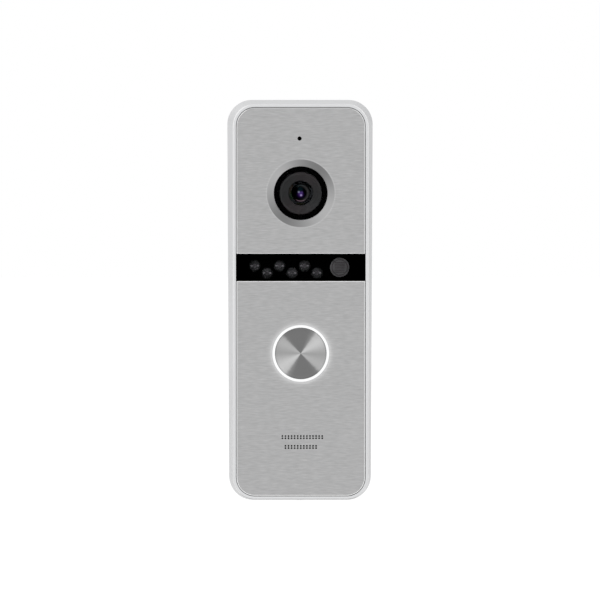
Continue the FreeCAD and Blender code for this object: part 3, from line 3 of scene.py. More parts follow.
import bmesh
import bpy
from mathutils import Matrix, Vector

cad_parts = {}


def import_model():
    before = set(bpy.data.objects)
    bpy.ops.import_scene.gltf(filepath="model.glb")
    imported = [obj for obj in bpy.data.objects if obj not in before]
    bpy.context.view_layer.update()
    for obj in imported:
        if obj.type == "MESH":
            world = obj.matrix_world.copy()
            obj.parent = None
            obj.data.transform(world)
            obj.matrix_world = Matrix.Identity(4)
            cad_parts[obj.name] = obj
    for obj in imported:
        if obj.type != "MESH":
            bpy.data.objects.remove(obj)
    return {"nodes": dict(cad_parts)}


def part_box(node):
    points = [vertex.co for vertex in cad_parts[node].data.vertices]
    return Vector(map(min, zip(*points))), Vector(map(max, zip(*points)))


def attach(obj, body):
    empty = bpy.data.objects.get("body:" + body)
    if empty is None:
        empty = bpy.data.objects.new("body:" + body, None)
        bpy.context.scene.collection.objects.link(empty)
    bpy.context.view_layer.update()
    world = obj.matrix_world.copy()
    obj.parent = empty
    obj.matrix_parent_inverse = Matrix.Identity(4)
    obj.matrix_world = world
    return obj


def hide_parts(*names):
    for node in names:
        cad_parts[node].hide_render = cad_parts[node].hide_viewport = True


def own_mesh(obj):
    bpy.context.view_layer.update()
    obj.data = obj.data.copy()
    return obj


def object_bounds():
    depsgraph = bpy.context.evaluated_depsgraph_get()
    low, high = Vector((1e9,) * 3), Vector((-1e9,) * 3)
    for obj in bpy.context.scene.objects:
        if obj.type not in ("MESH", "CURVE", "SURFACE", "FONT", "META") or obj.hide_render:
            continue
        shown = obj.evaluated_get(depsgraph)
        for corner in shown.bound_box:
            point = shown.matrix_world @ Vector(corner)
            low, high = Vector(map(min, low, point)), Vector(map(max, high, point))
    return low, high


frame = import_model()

cad_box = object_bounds()

# The looks of a wall-mounted video door station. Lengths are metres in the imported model's frame:
# +Z up, the wall at Y = 0 and the front facing -Y.

MM = 0.001
NODES = frame["nodes"]
FRONT_LIGHT = 0.955       # the light that a surface facing the camera reflects


def middle(node):
    """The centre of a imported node's box."""
    low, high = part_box(node)
    return (low + high) / 2


CAMERA_AXIS = middle("camera_cover_glass")
BUTTON_AXIS = middle("call_button_cap")


def tone(level):
    """Linear light for a display tone between 0 and 255."""
    share = level / 255
    return share / 12.92 if share <= 0.04045 else ((share + 0.055) / 1.055) ** 2.4


# ---------------------------------------------------------------- writing node materials

class Shader:
    """A node material under construction: most methods add a node and return its output."""

    def __init__(self, name):
        self.material = bpy.data.materials.new(name)
        self.material.use_nodes = True
        self.tree = self.material.node_tree
        self.tree.nodes.clear()
        self.place = self.add("TexCoord").outputs["Object"]

    def add(self, kind, inputs=None, **settings):
        """A new node; each input is a number, a tuple or another node's output."""
        node = self.tree.nodes.new("ShaderNode" + kind)
        for key, value in settings.items():
            setattr(node, key, value)
        for key, value in (inputs or {}).items():
            self.feed(node.inputs[key], value)
        return node

    def feed(self, socket, value):
        if isinstance(value, bpy.types.NodeSocket):
            self.tree.links.new(value, socket)
        elif socket.type == "RGBA" and len(value) == 3:
            socket.default_value = (*value, 1)
        else:
            socket.default_value = value

    def math(self, operation, *values):
        return self.add("Math", dict(enumerate(values)), operation=operation).outputs[0]

    def vector(self, operation, *values):
        node = self.add("VectorMath", dict(enumerate(values)), operation=operation)
        return node.outputs["Value" if operation in ("DOT_PRODUCT", "LENGTH") else "Vector"]

    def split(self, vector):
        return self.add("SeparateXYZ", {0: vector}).outputs

    def combine(self, x, y, z):
        return self.add("CombineXYZ", {0: x, 1: y, 2: z}).outputs[0]

    def mix(self, share, first, second):
        """A colour between first and second."""
        node = self.add("Mix", {0: share, 6: first, 7: second}, data_type="RGBA")
        return node.outputs[2]

    def remap(self, value, low, high, to_low=0.0, to_high=1.0):
        """A smooth step from to_low to to_high while value runs from low to high."""
        node = self.add("MapRange", {"Value": value, "From Min": low, "From Max": high,
                                     "To Min": to_low, "To Max": to_high},
                        interpolation_type="SMOOTHSTEP")
        return node.outputs[0]

    def grain(self, size, stretch=(1, 1, 1), detail=2.0, where=None):
        """Noise about 0.5, its blobs about size across and longer along the stretched axes."""
        scale = tuple(1 / (size * share) for share in stretch)
        scaled = self.vector("MULTIPLY", where or self.place, scale)
        return self.add("TexNoise", {"Vector": scaled, "Scale": 1.0, "Detail": detail}).outputs[0]

    def cells(self, size, output="Color"):
        """Random cells about size across: a colour for each, or the distance from its middle."""
        scaled = self.vector("MULTIPLY", self.place, (1 / size,) * 3)
        return self.add("TexVoronoi", {"Vector": scaled, "Scale": 1.0}).outputs[output]

    def vary(self, value, noise, amount):
        """A value scaled up and down by a noise about 0.5."""
        swing = self.math("MULTIPLY_ADD", noise, 2 * amount, 1 - amount)
        return self.math("MULTIPLY", value, swing)

    def tint(self, colour, noise, amount):
        """A colour made darker and lighter by a noise about 0.5."""
        swing = self.math("MULTIPLY_ADD", noise, 2 * amount, 1 - amount)
        return self.vector("MULTIPLY", colour, self.combine(swing, swing, swing))

    def bump(self, height, depth):
        """A normal disturbed by a height between 0 and 1 that stands for a depth."""
        return self.add("Bump", {"Height": height, "Distance": depth}).outputs[0]

    def polar(self, axis):
        """Distance from an axis along Y, and the angle clockwise from the top, seen from in front."""
        x, _, z = self.split(self.vector("SUBTRACT", self.place, tuple(axis)))[:3]
        along = self.math("ARCTAN2", x, z)
        return self.vector("LENGTH", self.combine(x, 0.0, z)), along

    def around(self, axis):
        """The direction of turning marks about an axis along Y."""
        x, _, z = self.split(self.vector("SUBTRACT", self.place, tuple(axis)))[:3]
        return self.vector("NORMALIZE", self.combine(z, 0.0, self.math("MULTIPLY", x, -1.0)))

    def glancing(self, most):
        """A reflection share: nothing face on, growing towards a glancing look."""
        facing = self.add("LayerWeight", {"Blend": 0.5}).outputs["Facing"]
        return self.math("MULTIPLY", self.math("POWER", facing, 2.6), most)

    def glass(self, clear, roughness, most):
        """See-through without bending the light; its outer side is glossier at a slant."""
        through = self.add("BsdfTransparent", {"Color": clear}).outputs[0]
        gloss = self.add("BsdfAnisotropic", {"Color": (1, 1, 1), "Roughness": roughness}).outputs[0]
        inner = self.add("NewGeometry").outputs["Backfacing"]
        share = self.math("MULTIPLY", self.glancing(most), self.math("SUBTRACT", 1.0, inner))
        return self.add("MixShader", {0: share, 1: through, 2: gloss}).outputs[0]

    def principled(self, inputs):
        return self.add("BsdfPrincipled", inputs).outputs[0]

    def finish(self, surface):
        self.add("OutputMaterial", {"Surface": surface})
        return self.material


# ---------------------------------------------------------------- the front's materials

PLATE_LEVEL = tone(177) / FRONT_LIGHT     # the base level that shows as the plates' mid grey
EDGE_BAND = 0.5 * MM      # a strip along the plates' edges that holds their bevels
BEVEL_HIGHLIGHT_GAIN = 0.62          # how much painted highlight the plates' bevels get
HOLE_SHADE = 0.08         # painted shade: the share of their colour that the walls of the holes keep
COUNTERSINK_RADIUS = 12.1 * MM
RING_EDGE = 10.35 * MM    # the edge of the lower plate's hole round the lit ring
RING_CREST = 9.62 * MM    # where the lit ring is brightest


def painted_reflection_wedges(shader, angle, ground, *bright):
    """A turned face's painted reflection: a dark ground with bright wedges, each repeated half a turn on.

    A wedge is a heading, a half width and a fade at its edges, in degrees, and a gain. Ground
    and gains are shares of the plates' level.
    """
    share = ground
    for heading, half_width, fade, gain in bright:
        turned = shader.math("SUBTRACT", angle, math.radians(heading))
        off = shader.math("ARCCOSINE", shader.math("ABSOLUTE", shader.math("COSINE", turned)))
        painted_wedge = shader.remap(off, math.radians(half_width - fade),
                              math.radians(half_width + fade), 1.0, 0.0)
        share = shader.math("MULTIPLY_ADD", painted_wedge, gain, share)
    return shader.math("MULTIPLY", share, PLATE_LEVEL)


def casing_silver():
    """Satin silver-white paint with a fine flake.

    The rounded edge has a painted highlight at the sides and painted shade below; painted shade darkens
    the sides downwards.
    """
    shader = Shader("casing_silver")
    flake = shader.grain(0.09 * MM, detail=1.0)
    cloud = shader.grain(9 * MM)
    normal = shader.split(shader.add("NewGeometry").outputs["Normal"])
    facing = shader.math("MULTIPLY", normal[1], -1.0)
    sideways = shader.math("ABSOLUTE", normal[0])
    rounded = shader.math("MULTIPLY", shader.remap(facing, 0.12, 0.40),
                          shader.remap(facing, 0.80, 0.98, 1.0, 0.0))
    # painted shade on the rounded edge where it faces downwards
    painted_underside_shade = shader.math("MULTIPLY", rounded, shader.remap(normal[2], -0.85, -0.50, 1.0, 0.0))
    flank = shader.remap(sideways, 0.10, 0.40)
    # painted highlight on the rounded edge at the sides
    painted_rim_highlight = shader.math("MULTIPLY", rounded, flank)
    low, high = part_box("front_casing")
    height = shader.split(shader.place)[2]
    # painted shade on the sides, deepening towards the bottom
    painted_downward_shade = shader.math("MULTIPLY", shader.remap(height, low.z, high.z, 0.14, 0.0), flank)
    colour = shader.mix(painted_rim_highlight, (0.735, 0.74, 0.75), (0.97, 0.97, 0.97))
    colour = shader.mix(painted_underside_shade, colour, (0.15, 0.15, 0.15))
    colour = shader.mix(painted_downward_shade, colour, (0.0, 0.0, 0.0))
    colour = shader.tint(colour, flake, 0.05)
    colour = shader.tint(colour, cloud, 0.02)
    peel = shader.bump(shader.grain(0.6 * MM), 0.004 * MM)
    return shader.finish(shader.principled({
        "Base Color": colour, "Metallic": 0.15, "Roughness": shader.vary(0.42, flake, 0.12),
        "Normal": peel, "Coat Weight": 0.15, "Coat Roughness": 0.25}))


def brushing(shader):
    """Horizontal streaks scattered about 1, and the fine hairlines among them."""
    wide = shader.grain(0.38 * MM, (7.5, 1, 1), 3.0)
    fine = shader.grain(0.10 * MM, (38, 1, 1), 2.0)
    cloud = shader.grain(14 * MM, (2, 1, 1), 1.0)
    value = shader.vary(1.0, wide, 0.20)
    value = shader.vary(value, fine, 0.24)
    return shader.vary(value, cloud, 0.02), fine


def painted_bevel_highlight(shader):
    """A mask for the painted highlight on the plates' bevels, faint along the top one."""
    normal = shader.add("NewGeometry").outputs["True Normal"]
    facing = shader.math("MULTIPLY", shader.split(normal)[1], -1.0)
    slanted = shader.math("LESS_THAN", facing, 0.8)
    exposed = shader.math("GREATER_THAN", facing, 0.6)
    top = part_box("upper_face_plate")[1].z - EDGE_BAND
    fade = 1.0 * MM
    height = shader.split(shader.place)[2]
    strength = shader.remap(height, top - fade, top, 1.0, 0.2)
    return shader.math("MULTIPLY", shader.math("MULTIPLY", slanted, exposed), strength)


def outside_holes(shader):
    """A mask for the painted shade in the plates' holes: 0 on their walls, 1 everywhere else."""
    normal = shader.add("NewGeometry").outputs["True Normal"]
    facing = shader.math("MULTIPLY", shader.split(normal)[1], -1.0)
    wall = shader.math("LESS_THAN", shader.math("ABSOLUTE", facing), 0.3)
    x, _, z = shader.split(shader.place)[:3]
    inset = 3 * EDGE_BAND
    low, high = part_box("lower_face_plate")[0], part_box("upper_face_plate")[1]
    for way, start, end in ((x, low.x, high.x), (z, low.z, high.z)):
        wall = shader.math("MULTIPLY", wall, shader.math("GREATER_THAN", way, start + inset))
        wall = shader.math("MULTIPLY", wall, shader.math("LESS_THAN", way, end - inset))
    return shader.math("SUBTRACT", 1.0, wall)


def flattened(shader, normal, share, where):
    """A normal turned a share of the way towards the front, inside a mask."""
    share = shader.math("MULTIPLY", where, share)
    mixed = shader.add("Mix", {0: share, 4: normal, 5: (0.0, -1.0, 0.0)}, data_type="VECTOR")
    return shader.vector("NORMALIZE", mixed.outputs[1])


def brushed_metal(shader, level, fine, glow=0.0, cone=0.0):
    """Brushed, clear-anodised aluminium of a grey level with painted highlights and shade and a painted
    glow; cone masks a countersink.
    """
    # painted highlight on the bevels
    level = shader.math("MULTIPLY_ADD", painted_bevel_highlight(shader), BEVEL_HIGHLIGHT_GAIN, level)
    # painted shade on the walls of the holes
    shade = shader.math("MULTIPLY_ADD", outside_holes(shader), 1 - HOLE_SHADE, HOLE_SHADE)
    level = shader.math("MULTIPLY", level, shade)
    grey = shader.combine(level, level, shader.math("MULTIPLY", level, 1.004))
    return shader.principled({
        "Base Color": grey, "Metallic": 0.85, "Roughness": shader.vary(0.36, fine, 0.2),
        "Anisotropic": 0.5, "Tangent": (1.0, 0.0, 0.0),
        "Normal": flattened(shader, shader.bump(fine, 0.0015 * MM), 0.85, cone),
        "Emission Color": (1.0, 1.0, 1.0), "Emission Strength": glow})


def upper_plate():
    """The upper plate: brushed, with turning marks, two painted dark wedges and a painted edge highlight
    in its countersink.
    """
    shader = Shader("brushed_plate_upper")
    streak, fine = brushing(shader)
    radius, angle = shader.polar(CAMERA_AXIS)
    outer = COUNTERSINK_RADIUS
    # painted reflection: the countersink's bright and dark wedges
    painted_wedge = painted_reflection_wedges(shader, angle, 0.45, (125, 45, 45, 0.55))
    marks = shader.grain(0.12 * MM, where=shader.combine(radius, 0.0, 0.0))
    cone = shader.vary(painted_wedge, marks, 0.10)
    inside = shader.math("LESS_THAN", radius, outer - 0.02 * MM)
    # painted highlight along the countersink's outer edge
    painted_rim_highlight = shader.math("MULTIPLY", shader.remap(radius, outer - 0.35 * MM, outer),
                      shader.remap(radius, outer + 0.15 * MM, outer + 0.5 * MM, 1.0, 0.0))
    flat = shader.math("MULTIPLY", streak, PLATE_LEVEL)
    level = shader.add("Mix", {0: inside, 2: flat, 3: cone}, data_type="FLOAT").outputs[0]
    level = shader.math("MULTIPLY_ADD", painted_rim_highlight, 0.05, level)
    return shader.finish(brushed_metal(shader, level, fine, cone=inside))


def lower_plate():
    """The lower plate: brushed, with the light of the button's ring painted on it as a glow."""
    shader = Shader("brushed_plate_lower")
    streak, fine = brushing(shader)
    radius, _ = shader.polar(BUTTON_AXIS)
    brightest = 0.23
    fade = 0.62 * MM
    # painted light: the ring's glow on the plate, fading away from the hole
    away = shader.math("DIVIDE", shader.math("SUBTRACT", radius, RING_EDGE), -fade)
    glow = shader.math("MULTIPLY", shader.math("EXPONENT", away), brightest)
    level = shader.math("MULTIPLY", streak, PLATE_LEVEL)
    return shader.finish(brushed_metal(shader, level, fine, glow))


def turned_cap():
    """The spun button cap: concentric marks with a painted reflection of bright and dark wedges over
    them.
    """
    shader = Shader("turned_cap")
    radius, angle = shader.polar(BUTTON_AXIS)
    drift = shader.grain(1.2 * MM, where=shader.combine(radius, 0.0, 0.0))
    sway = 0.10
    angle = shader.math("MULTIPLY_ADD", drift, sway, shader.math("SUBTRACT", angle, sway / 2))
    # painted reflection: the spun cap's bright and dark wedges
    painted_wedge = painted_reflection_wedges(shader, angle, 0.4, (85, 50, 5, 0.4), (55, 20, 20, 0.5), (120, 15, 15, 0.2))
    marks = shader.grain(0.10 * MM, detail=3.0, where=shader.combine(radius, 0.0, 0.0))
    level = shader.vary(painted_wedge, marks, 0.14)
    grey = shader.combine(level, level, level)
    return shader.finish(shader.principled({
        "Base Color": grey, "Metallic": 0.9, "Roughness": shader.vary(0.3, marks, 0.25),
        "Anisotropic": 0.6, "Tangent": shader.around(BUTTON_AXIS),
        "Normal": shader.bump(marks, 0.002 * MM)}))


def ring_diffuser():
    """Frosted diffuser lit from behind."""
    shader = Shader("ring_diffuser")
    radius, _ = shader.polar(BUTTON_AXIS)
    off = shader.math("ABSOLUTE", shader.math("SUBTRACT", radius, RING_CREST))
    lit = shader.remap(off, 0.05 * MM, 0.65 * MM, 0.55, 0.18)
    haze = shader.vary(lit, shader.grain(0.8 * MM), 0.04)
    return shader.finish(shader.principled({
        "Base Color": (0.58, 0.585, 0.59), "Roughness": 0.45, "Specular IOR Level": 0.3,
        "Emission Color": (1.0, 1.0, 1.0), "Emission Strength": haze}))


def window_acrylic():
    """Polished smoked acrylic, painted black on its back except in front of the bezel."""
    shader = Shader("window_acrylic")
    clear = shader.tint((0.70, 0.70, 0.71), shader.grain(6 * MM), 0.02)
    low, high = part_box("diode_bezel")
    x, _, z = shader.split(shader.vector("SUBTRACT", shader.place,
                                         tuple((low + high) / 2)))[:3]
    outside = shader.math("MAXIMUM",
                          shader.math("GREATER_THAN", shader.math("ABSOLUTE", x),
                                      (high.x - low.x) / 2),
                          shader.math("GREATER_THAN", shader.math("ABSOLUTE", z),
                                      (high.z - low.z) / 2))
    clear = shader.mix(outside, clear, (0.0, 0.0, 0.0))
    return shader.finish(shader.glass(clear, 0.03, 0.75))


def cover_glass():
    """Coated flat glass."""
    shader = Shader("cover_glass")
    clear = shader.tint((0.975, 0.98, 0.985), shader.grain(5 * MM), 0.01)
    return shader.finish(shader.glass(clear, 0.02, 0.7))


def mask_black():
    """Deep matt black print with a fine texture."""
    shader = Shader("mask_black")
    texture = shader.grain(0.25 * MM)
    return shader.finish(shader.principled({
        "Base Color": shader.tint((0.0015, 0.0015, 0.0015), texture, 0.15),
        "Specular IOR Level": 0.0, "Roughness": shader.vary(0.8, texture, 0.15),
        "Normal": shader.bump(texture, 0.004 * MM)}))


def lens_black():
    """Black anodised barrel with turned grooves, faint warm patches and a darker recess."""
    shader = Shader("lens_black")
    radius, angle = shader.polar(CAMERA_AXIS)
    grooves = shader.grain(0.14 * MM, where=shader.combine(radius, 0.0, 0.0))
    lobes = shader.math("SINE", shader.math("MULTIPLY_ADD", angle, 2.0, 0.9))
    warm = shader.remap(lobes, -1.0, 1.0)
    colour = shader.mix(warm, (0.0200, 0.0200, 0.0200), (0.0255, 0.0205, 0.0215))
    recess = 4.45 * MM
    face = shader.remap(radius, recess - 0.25 * MM, recess)
    colour = shader.mix(face, (0.004, 0.004, 0.004), colour)
    colour = shader.tint(colour, grooves, 0.12)
    return shader.finish(shader.principled({
        "Base Color": colour, "Specular IOR Level": 0.25, "Roughness": 0.4,
        "Normal": shader.bump(grooves, 0.004 * MM)}))


def spot(shader, axis, offset, reach, colour, strength):
    """A soft round patch of painted light on a lens, at an (across, up) offset from the axis."""
    centre = Vector((axis.x + offset[0], 0, axis.z + offset[1]))
    radius, _ = shader.polar(centre)
    fade = shader.remap(radius, 0.25 * reach, reach, strength, 0.0)
    return shader.vector("MULTIPLY", colour, shader.combine(fade, fade, fade))


def arc(shader, axis, radius, width, heading, spread, colour, strength):
    """A thin arc of painted light on a lens: heading and spread are angles clockwise from the top."""
    distance, angle = shader.polar(axis)
    off = shader.math("ABSOLUTE", shader.math("SUBTRACT", distance, radius))
    line = shader.remap(off, 0.0, width, strength, 0.0)
    turn = shader.math("COSINE", shader.math("SUBTRACT", angle, heading))
    line = shader.math("MULTIPLY", line, shader.remap(turn, math.cos(spread), 1.0))
    return shader.vector("MULTIPLY", colour, shader.combine(line, line, line))


def coated_element(name, lights):
    """Lens glass with painted reflections of its coating, drawn as an emission: (spot or arc, details).
    """
    shader = Shader(name)
    glow = None
    for make, details in lights:
        light = make(shader, CAMERA_AXIS, *details)
        glow = light if glow is None else shader.vector("ADD", glow, light)
    shine = shader.add("Emission", {"Color": glow, "Strength": 1.0}).outputs[0]
    base = shader.glass((0.86, 0.88, 0.9), 0.03, 0.5)
    return shader.finish(shader.add("AddShader", {0: base, 1: shine}).outputs[0])


def front_element():
    """The domed front element: painted reflections of a grey sheen, thin arcs and warm and green patches
    at its edge.
    """
    right_angle = math.pi / 2
    return coated_element("lens_glass_front", (
        (arc, (2.65 * MM, 0.8 * MM, right_angle, 2.2, (1.0, 0.97, 0.98), 0.015)),
        (arc, (2.75 * MM, 0.16 * MM, 0.0, 0.75, (0.35, 0.60, 0.65), 0.030)),
        (arc, (2.85 * MM, 0.18 * MM, math.pi, 0.75, (0.95, 0.62, 0.75), 0.10)),
        (arc, (3.9 * MM, 0.5 * MM, -1.25, 0.55, (1.0, 0.45, 0.12), 0.010)),
        (arc, (3.6 * MM, 0.6 * MM, -right_angle - 0.25, 0.5, (0.25, 0.9, 0.2), 0.008)),
        (arc, (3.9 * MM, 0.14 * MM, math.pi, 0.45, (0.8, 0.75, 0.2), 0.012))))


def inner_element():
    """The deeper element: a painted violet reflection a little below the middle, with two painted glints.
    """
    return coated_element("lens_glass_inner", (
        (spot, ((0.0, -0.55 * MM), 1.65 * MM, (0.30, 0.06, 0.75), 0.035)),
        (spot, ((0.05 * MM, -0.40 * MM), 1.15 * MM, (0.45, 0.22, 1.0), 0.055)),
        (spot, ((-0.60 * MM, 0.30 * MM), 0.55 * MM, (0.75, 0.80, 1.0), 0.14)),
        (spot, ((0.22 * MM, -0.85 * MM), 0.55 * MM, (0.90, 0.72, 1.0), 0.20)),
        (spot, ((0.55 * MM, 0.25 * MM), 0.5 * MM, (0.50, 0.35, 1.0), 0.05)),
        (spot, ((0.0, 1.3 * MM), 1.2 * MM, (0.10, 0.35, 0.42), 0.014))))


# ---------------------------------------------------------------- materials of the other parts

def moulded(name, colour, roughness, texture=0.35 * MM, depth=0.012 * MM):
    """Moulded plastic with a spark-eroded grain."""
    shader = Shader(name)
    pits = shader.grain(texture, detail=3.0)
    cloud = shader.grain(12 * MM)
    shade = shader.tint(shader.tint(colour, pits, 0.10), cloud, 0.04)
    return shader.finish(shader.principled({
        "Base Color": shade, "Roughness": shader.vary(roughness, pits, 0.15),
        "Normal": shader.bump(pits, depth)}))


def metal(name, colour, roughness, size=0.2 * MM, stretch=(1, 1, 1)):
    """Bare metal with fine drawing or turning marks."""
    shader = Shader(name)
    marks = shader.grain(size, stretch)
    stain = shader.grain(4 * MM)
    shade = shader.tint(shader.tint(colour, marks, 0.12), stain, 0.10)
    return shader.finish(shader.principled({
        "Base Color": shade, "Metallic": 1.0, "Roughness": shader.vary(roughness, marks, 0.3),
        "Normal": shader.bump(marks, 0.003 * MM)}))


def bracket_steel():
    """Galvanised sheet: zinc crystals of different brightness, with faint rolling marks."""
    shader = Shader("bracket_steel")
    crystal = shader.split(shader.cells(3.2 * MM))[0]
    small = shader.split(shader.cells(1.1 * MM))[1]
    rolled = shader.grain(0.3 * MM, (1, 1, 30))
    shade = shader.tint((0.60, 0.615, 0.63), crystal, 0.12)
    shade = shader.tint(shader.tint(shade, small, 0.05), rolled, 0.08)
    rough = shader.vary(shader.vary(0.42, crystal, 0.25), rolled, 0.15)
    return shader.finish(shader.principled({
        "Base Color": shade, "Metallic": 0.9, "Roughness": rough,
        "Normal": shader.bump(rolled, 0.004 * MM)}))


def rubber_black():
    """Soft black rubber with a little dust."""
    shader = Shader("rubber_black")
    skin = shader.grain(0.18 * MM)
    dust = shader.remap(shader.grain(3 * MM), 0.5, 0.8)
    colour = shader.mix(shader.math("MULTIPLY", dust, 0.3), (0.022, 0.022, 0.023),
                        (0.07, 0.068, 0.065))
    return shader.finish(shader.principled({
        "Base Color": colour, "Roughness": shader.vary(0.75, skin, 0.1),
        "Normal": shader.bump(skin, 0.006 * MM)}))


def board_green():
    """Solder mask over copper: slightly lighter tracks and small tinned spots."""
    shader = Shader("board_green")
    x, _, z = shader.split(shader.place)[:3]
    lanes = shader.math("FRACT", shader.math("DIVIDE", shader.math("ADD", x, z), 1.9 * MM))
    tracks = shader.math("LESS_THAN", lanes, 0.3)
    gate = shader.math("GREATER_THAN", shader.grain(6 * MM, detail=0.0), 0.5)
    tracks = shader.math("MULTIPLY", tracks, gate)
    spots = shader.math("LESS_THAN", shader.cells(2.6 * MM, "Distance"), 0.13)
    colour = shader.mix(tracks, (0.012, 0.105, 0.045), (0.022, 0.17, 0.07))
    colour = shader.mix(spots, colour, (0.62, 0.62, 0.58))
    return shader.finish(shader.principled({
        "Base Color": colour, "Metallic": shader.math("MULTIPLY", spots, 0.8),
        "Roughness": 0.35, "Normal": shader.bump(tracks, 0.02 * MM)}))


def speaker_weave():
    """Fine dark dust mesh."""
    shader = Shader("mesh_black")
    x, _, z = shader.split(shader.place)[:3]
    threads = [shader.math("SINE", shader.math("MULTIPLY", way, 2 * math.pi / (0.22 * MM)))
               for way in (x, z)]
    weave = shader.math("MULTIPLY", threads[0], threads[1])
    return shader.finish(shader.principled({
        "Base Color": (0.012, 0.012, 0.012), "Roughness": 0.8, "Specular IOR Level": 0.1,
        "Normal": shader.bump(weave, 0.03 * MM)}))


def cone_film():
    """Thin formed film with pressed rings."""
    shader = Shader("cone_film")
    radius, _ = shader.polar(middle("speaker_cone"))
    rings = shader.math("SINE", shader.math("MULTIPLY", radius, 2 * math.pi / (1.4 * MM)))
    return shader.finish(shader.principled({
        "Base Color": (0.10, 0.085, 0.06), "Roughness": 0.3,
        "Normal": shader.bump(rings, 0.05 * MM)}))


def ribbon_film():
    """Amber film over parallel conductors."""
    shader = Shader("ribbon_film")
    x = shader.split(shader.place)[0]
    lanes = shader.math("FRACT", shader.math("DIVIDE", x, 0.5 * MM))
    copper = shader.math("LESS_THAN", lanes, 0.55)
    colour = shader.mix(copper, (0.38, 0.16, 0.03), (0.62, 0.30, 0.10))
    return shader.finish(shader.principled({
        "Base Color": colour, "Metallic": shader.math("MULTIPLY", copper, 0.4),
        "Roughness": 0.28}))


def sensor_face():
    """The image sensor: a dark iridescent array inside a pale frame."""
    shader = Shader("sensor_face")
    x, _, z = shader.split(shader.vector("SUBTRACT", shader.place,
                                         tuple(middle("image_sensor"))))[:3]
    reach = shader.math("MAXIMUM", shader.math("ABSOLUTE", x), shader.math("ABSOLUTE", z))
    array = shader.math("LESS_THAN", reach, 2.6 * MM)
    hue = shader.mix(shader.grain(2.5 * MM), (0.05, 0.02, 0.10), (0.01, 0.09, 0.06))
    colour = shader.mix(array, (0.30, 0.28, 0.22), hue)
    return shader.finish(shader.principled({"Base Color": colour, "Roughness": 0.15}))


def diode_resin():
    """Smoky clear resin."""
    shader = Shader("diode_resin")
    through = shader.add("BsdfTransparent", {"Color": (0.95, 0.94, 0.95)}).outputs[0]
    cloud = shader.tint((0.52, 0.51, 0.52), shader.grain(0.7 * MM), 0.1)
    skin = shader.principled({"Base Color": cloud, "Roughness": 0.3,
                              "Specular IOR Level": 0.3})
    return shader.finish(shader.add("MixShader", {0: 0.30, 1: through, 2: skin}).outputs[0])


def photocell():
    """Grey resin-covered ceramic."""
    shader = Shader("photocell")
    speck = shader.grain(0.2 * MM)
    return shader.finish(shader.principled({
        "Base Color": shader.tint((0.38, 0.375, 0.37), speck, 0.10), "Roughness": 0.5,
        "Specular IOR Level": 0.2, "Normal": shader.bump(speck, 0.004 * MM)}))


def capsule_can():
    """The microphone's can, with black felt over its front."""
    shader = Shader("capsule_can")
    low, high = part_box("microphone_capsule")
    radius, _ = shader.polar(middle("microphone_capsule"))
    depth = shader.split(shader.place)[1]
    front = shader.math("LESS_THAN", depth, low.y + 0.1 * MM)
    felt = shader.math("MULTIPLY", front,
                       shader.math("LESS_THAN", radius, 0.42 * (high.x - low.x)))
    fibres = shader.grain(0.12 * MM, (3, 3, 1), 3.0)
    shade = shader.tint((0.74, 0.75, 0.76), shader.grain(4 * MM), 0.10)
    colour = shader.mix(felt, shade, shader.tint((0.006, 0.006, 0.006), fibres, 0.4))
    bare = shader.math("SUBTRACT", 1.0, felt)
    return shader.finish(shader.principled({
        "Base Color": colour, "Metallic": bare,
        "Roughness": shader.math("MULTIPLY_ADD", felt, 0.65, 0.3),
        "Specular IOR Level": shader.math("MULTIPLY_ADD", bare, 0.5, 0.02),
        "Normal": shader.bump(fibres, 0.01 * MM)}))


def foam_tape():
    """White foam with closed cells."""
    shader = Shader("tape_white")
    foam = shader.cells(0.25 * MM, "Distance")
    return shader.finish(shader.principled({
        "Base Color": shader.tint((0.80, 0.79, 0.77), foam, 0.08), "Roughness": 0.9,
        "Normal": shader.bump(foam, 0.03 * MM)}))


def sheath(name, colour):
    """Soft vinyl on a wire."""
    shader = Shader(name)
    skin = shader.grain(0.4 * MM)
    return shader.finish(shader.principled({
        "Base Color": shader.tint(colour, skin, 0.06), "Roughness": shader.vary(0.4, skin, 0.1),
        "Subsurface Weight": 0.1, "Subsurface Scale": 0.3 * MM,
        "Normal": shader.bump(skin, 0.003 * MM)}))


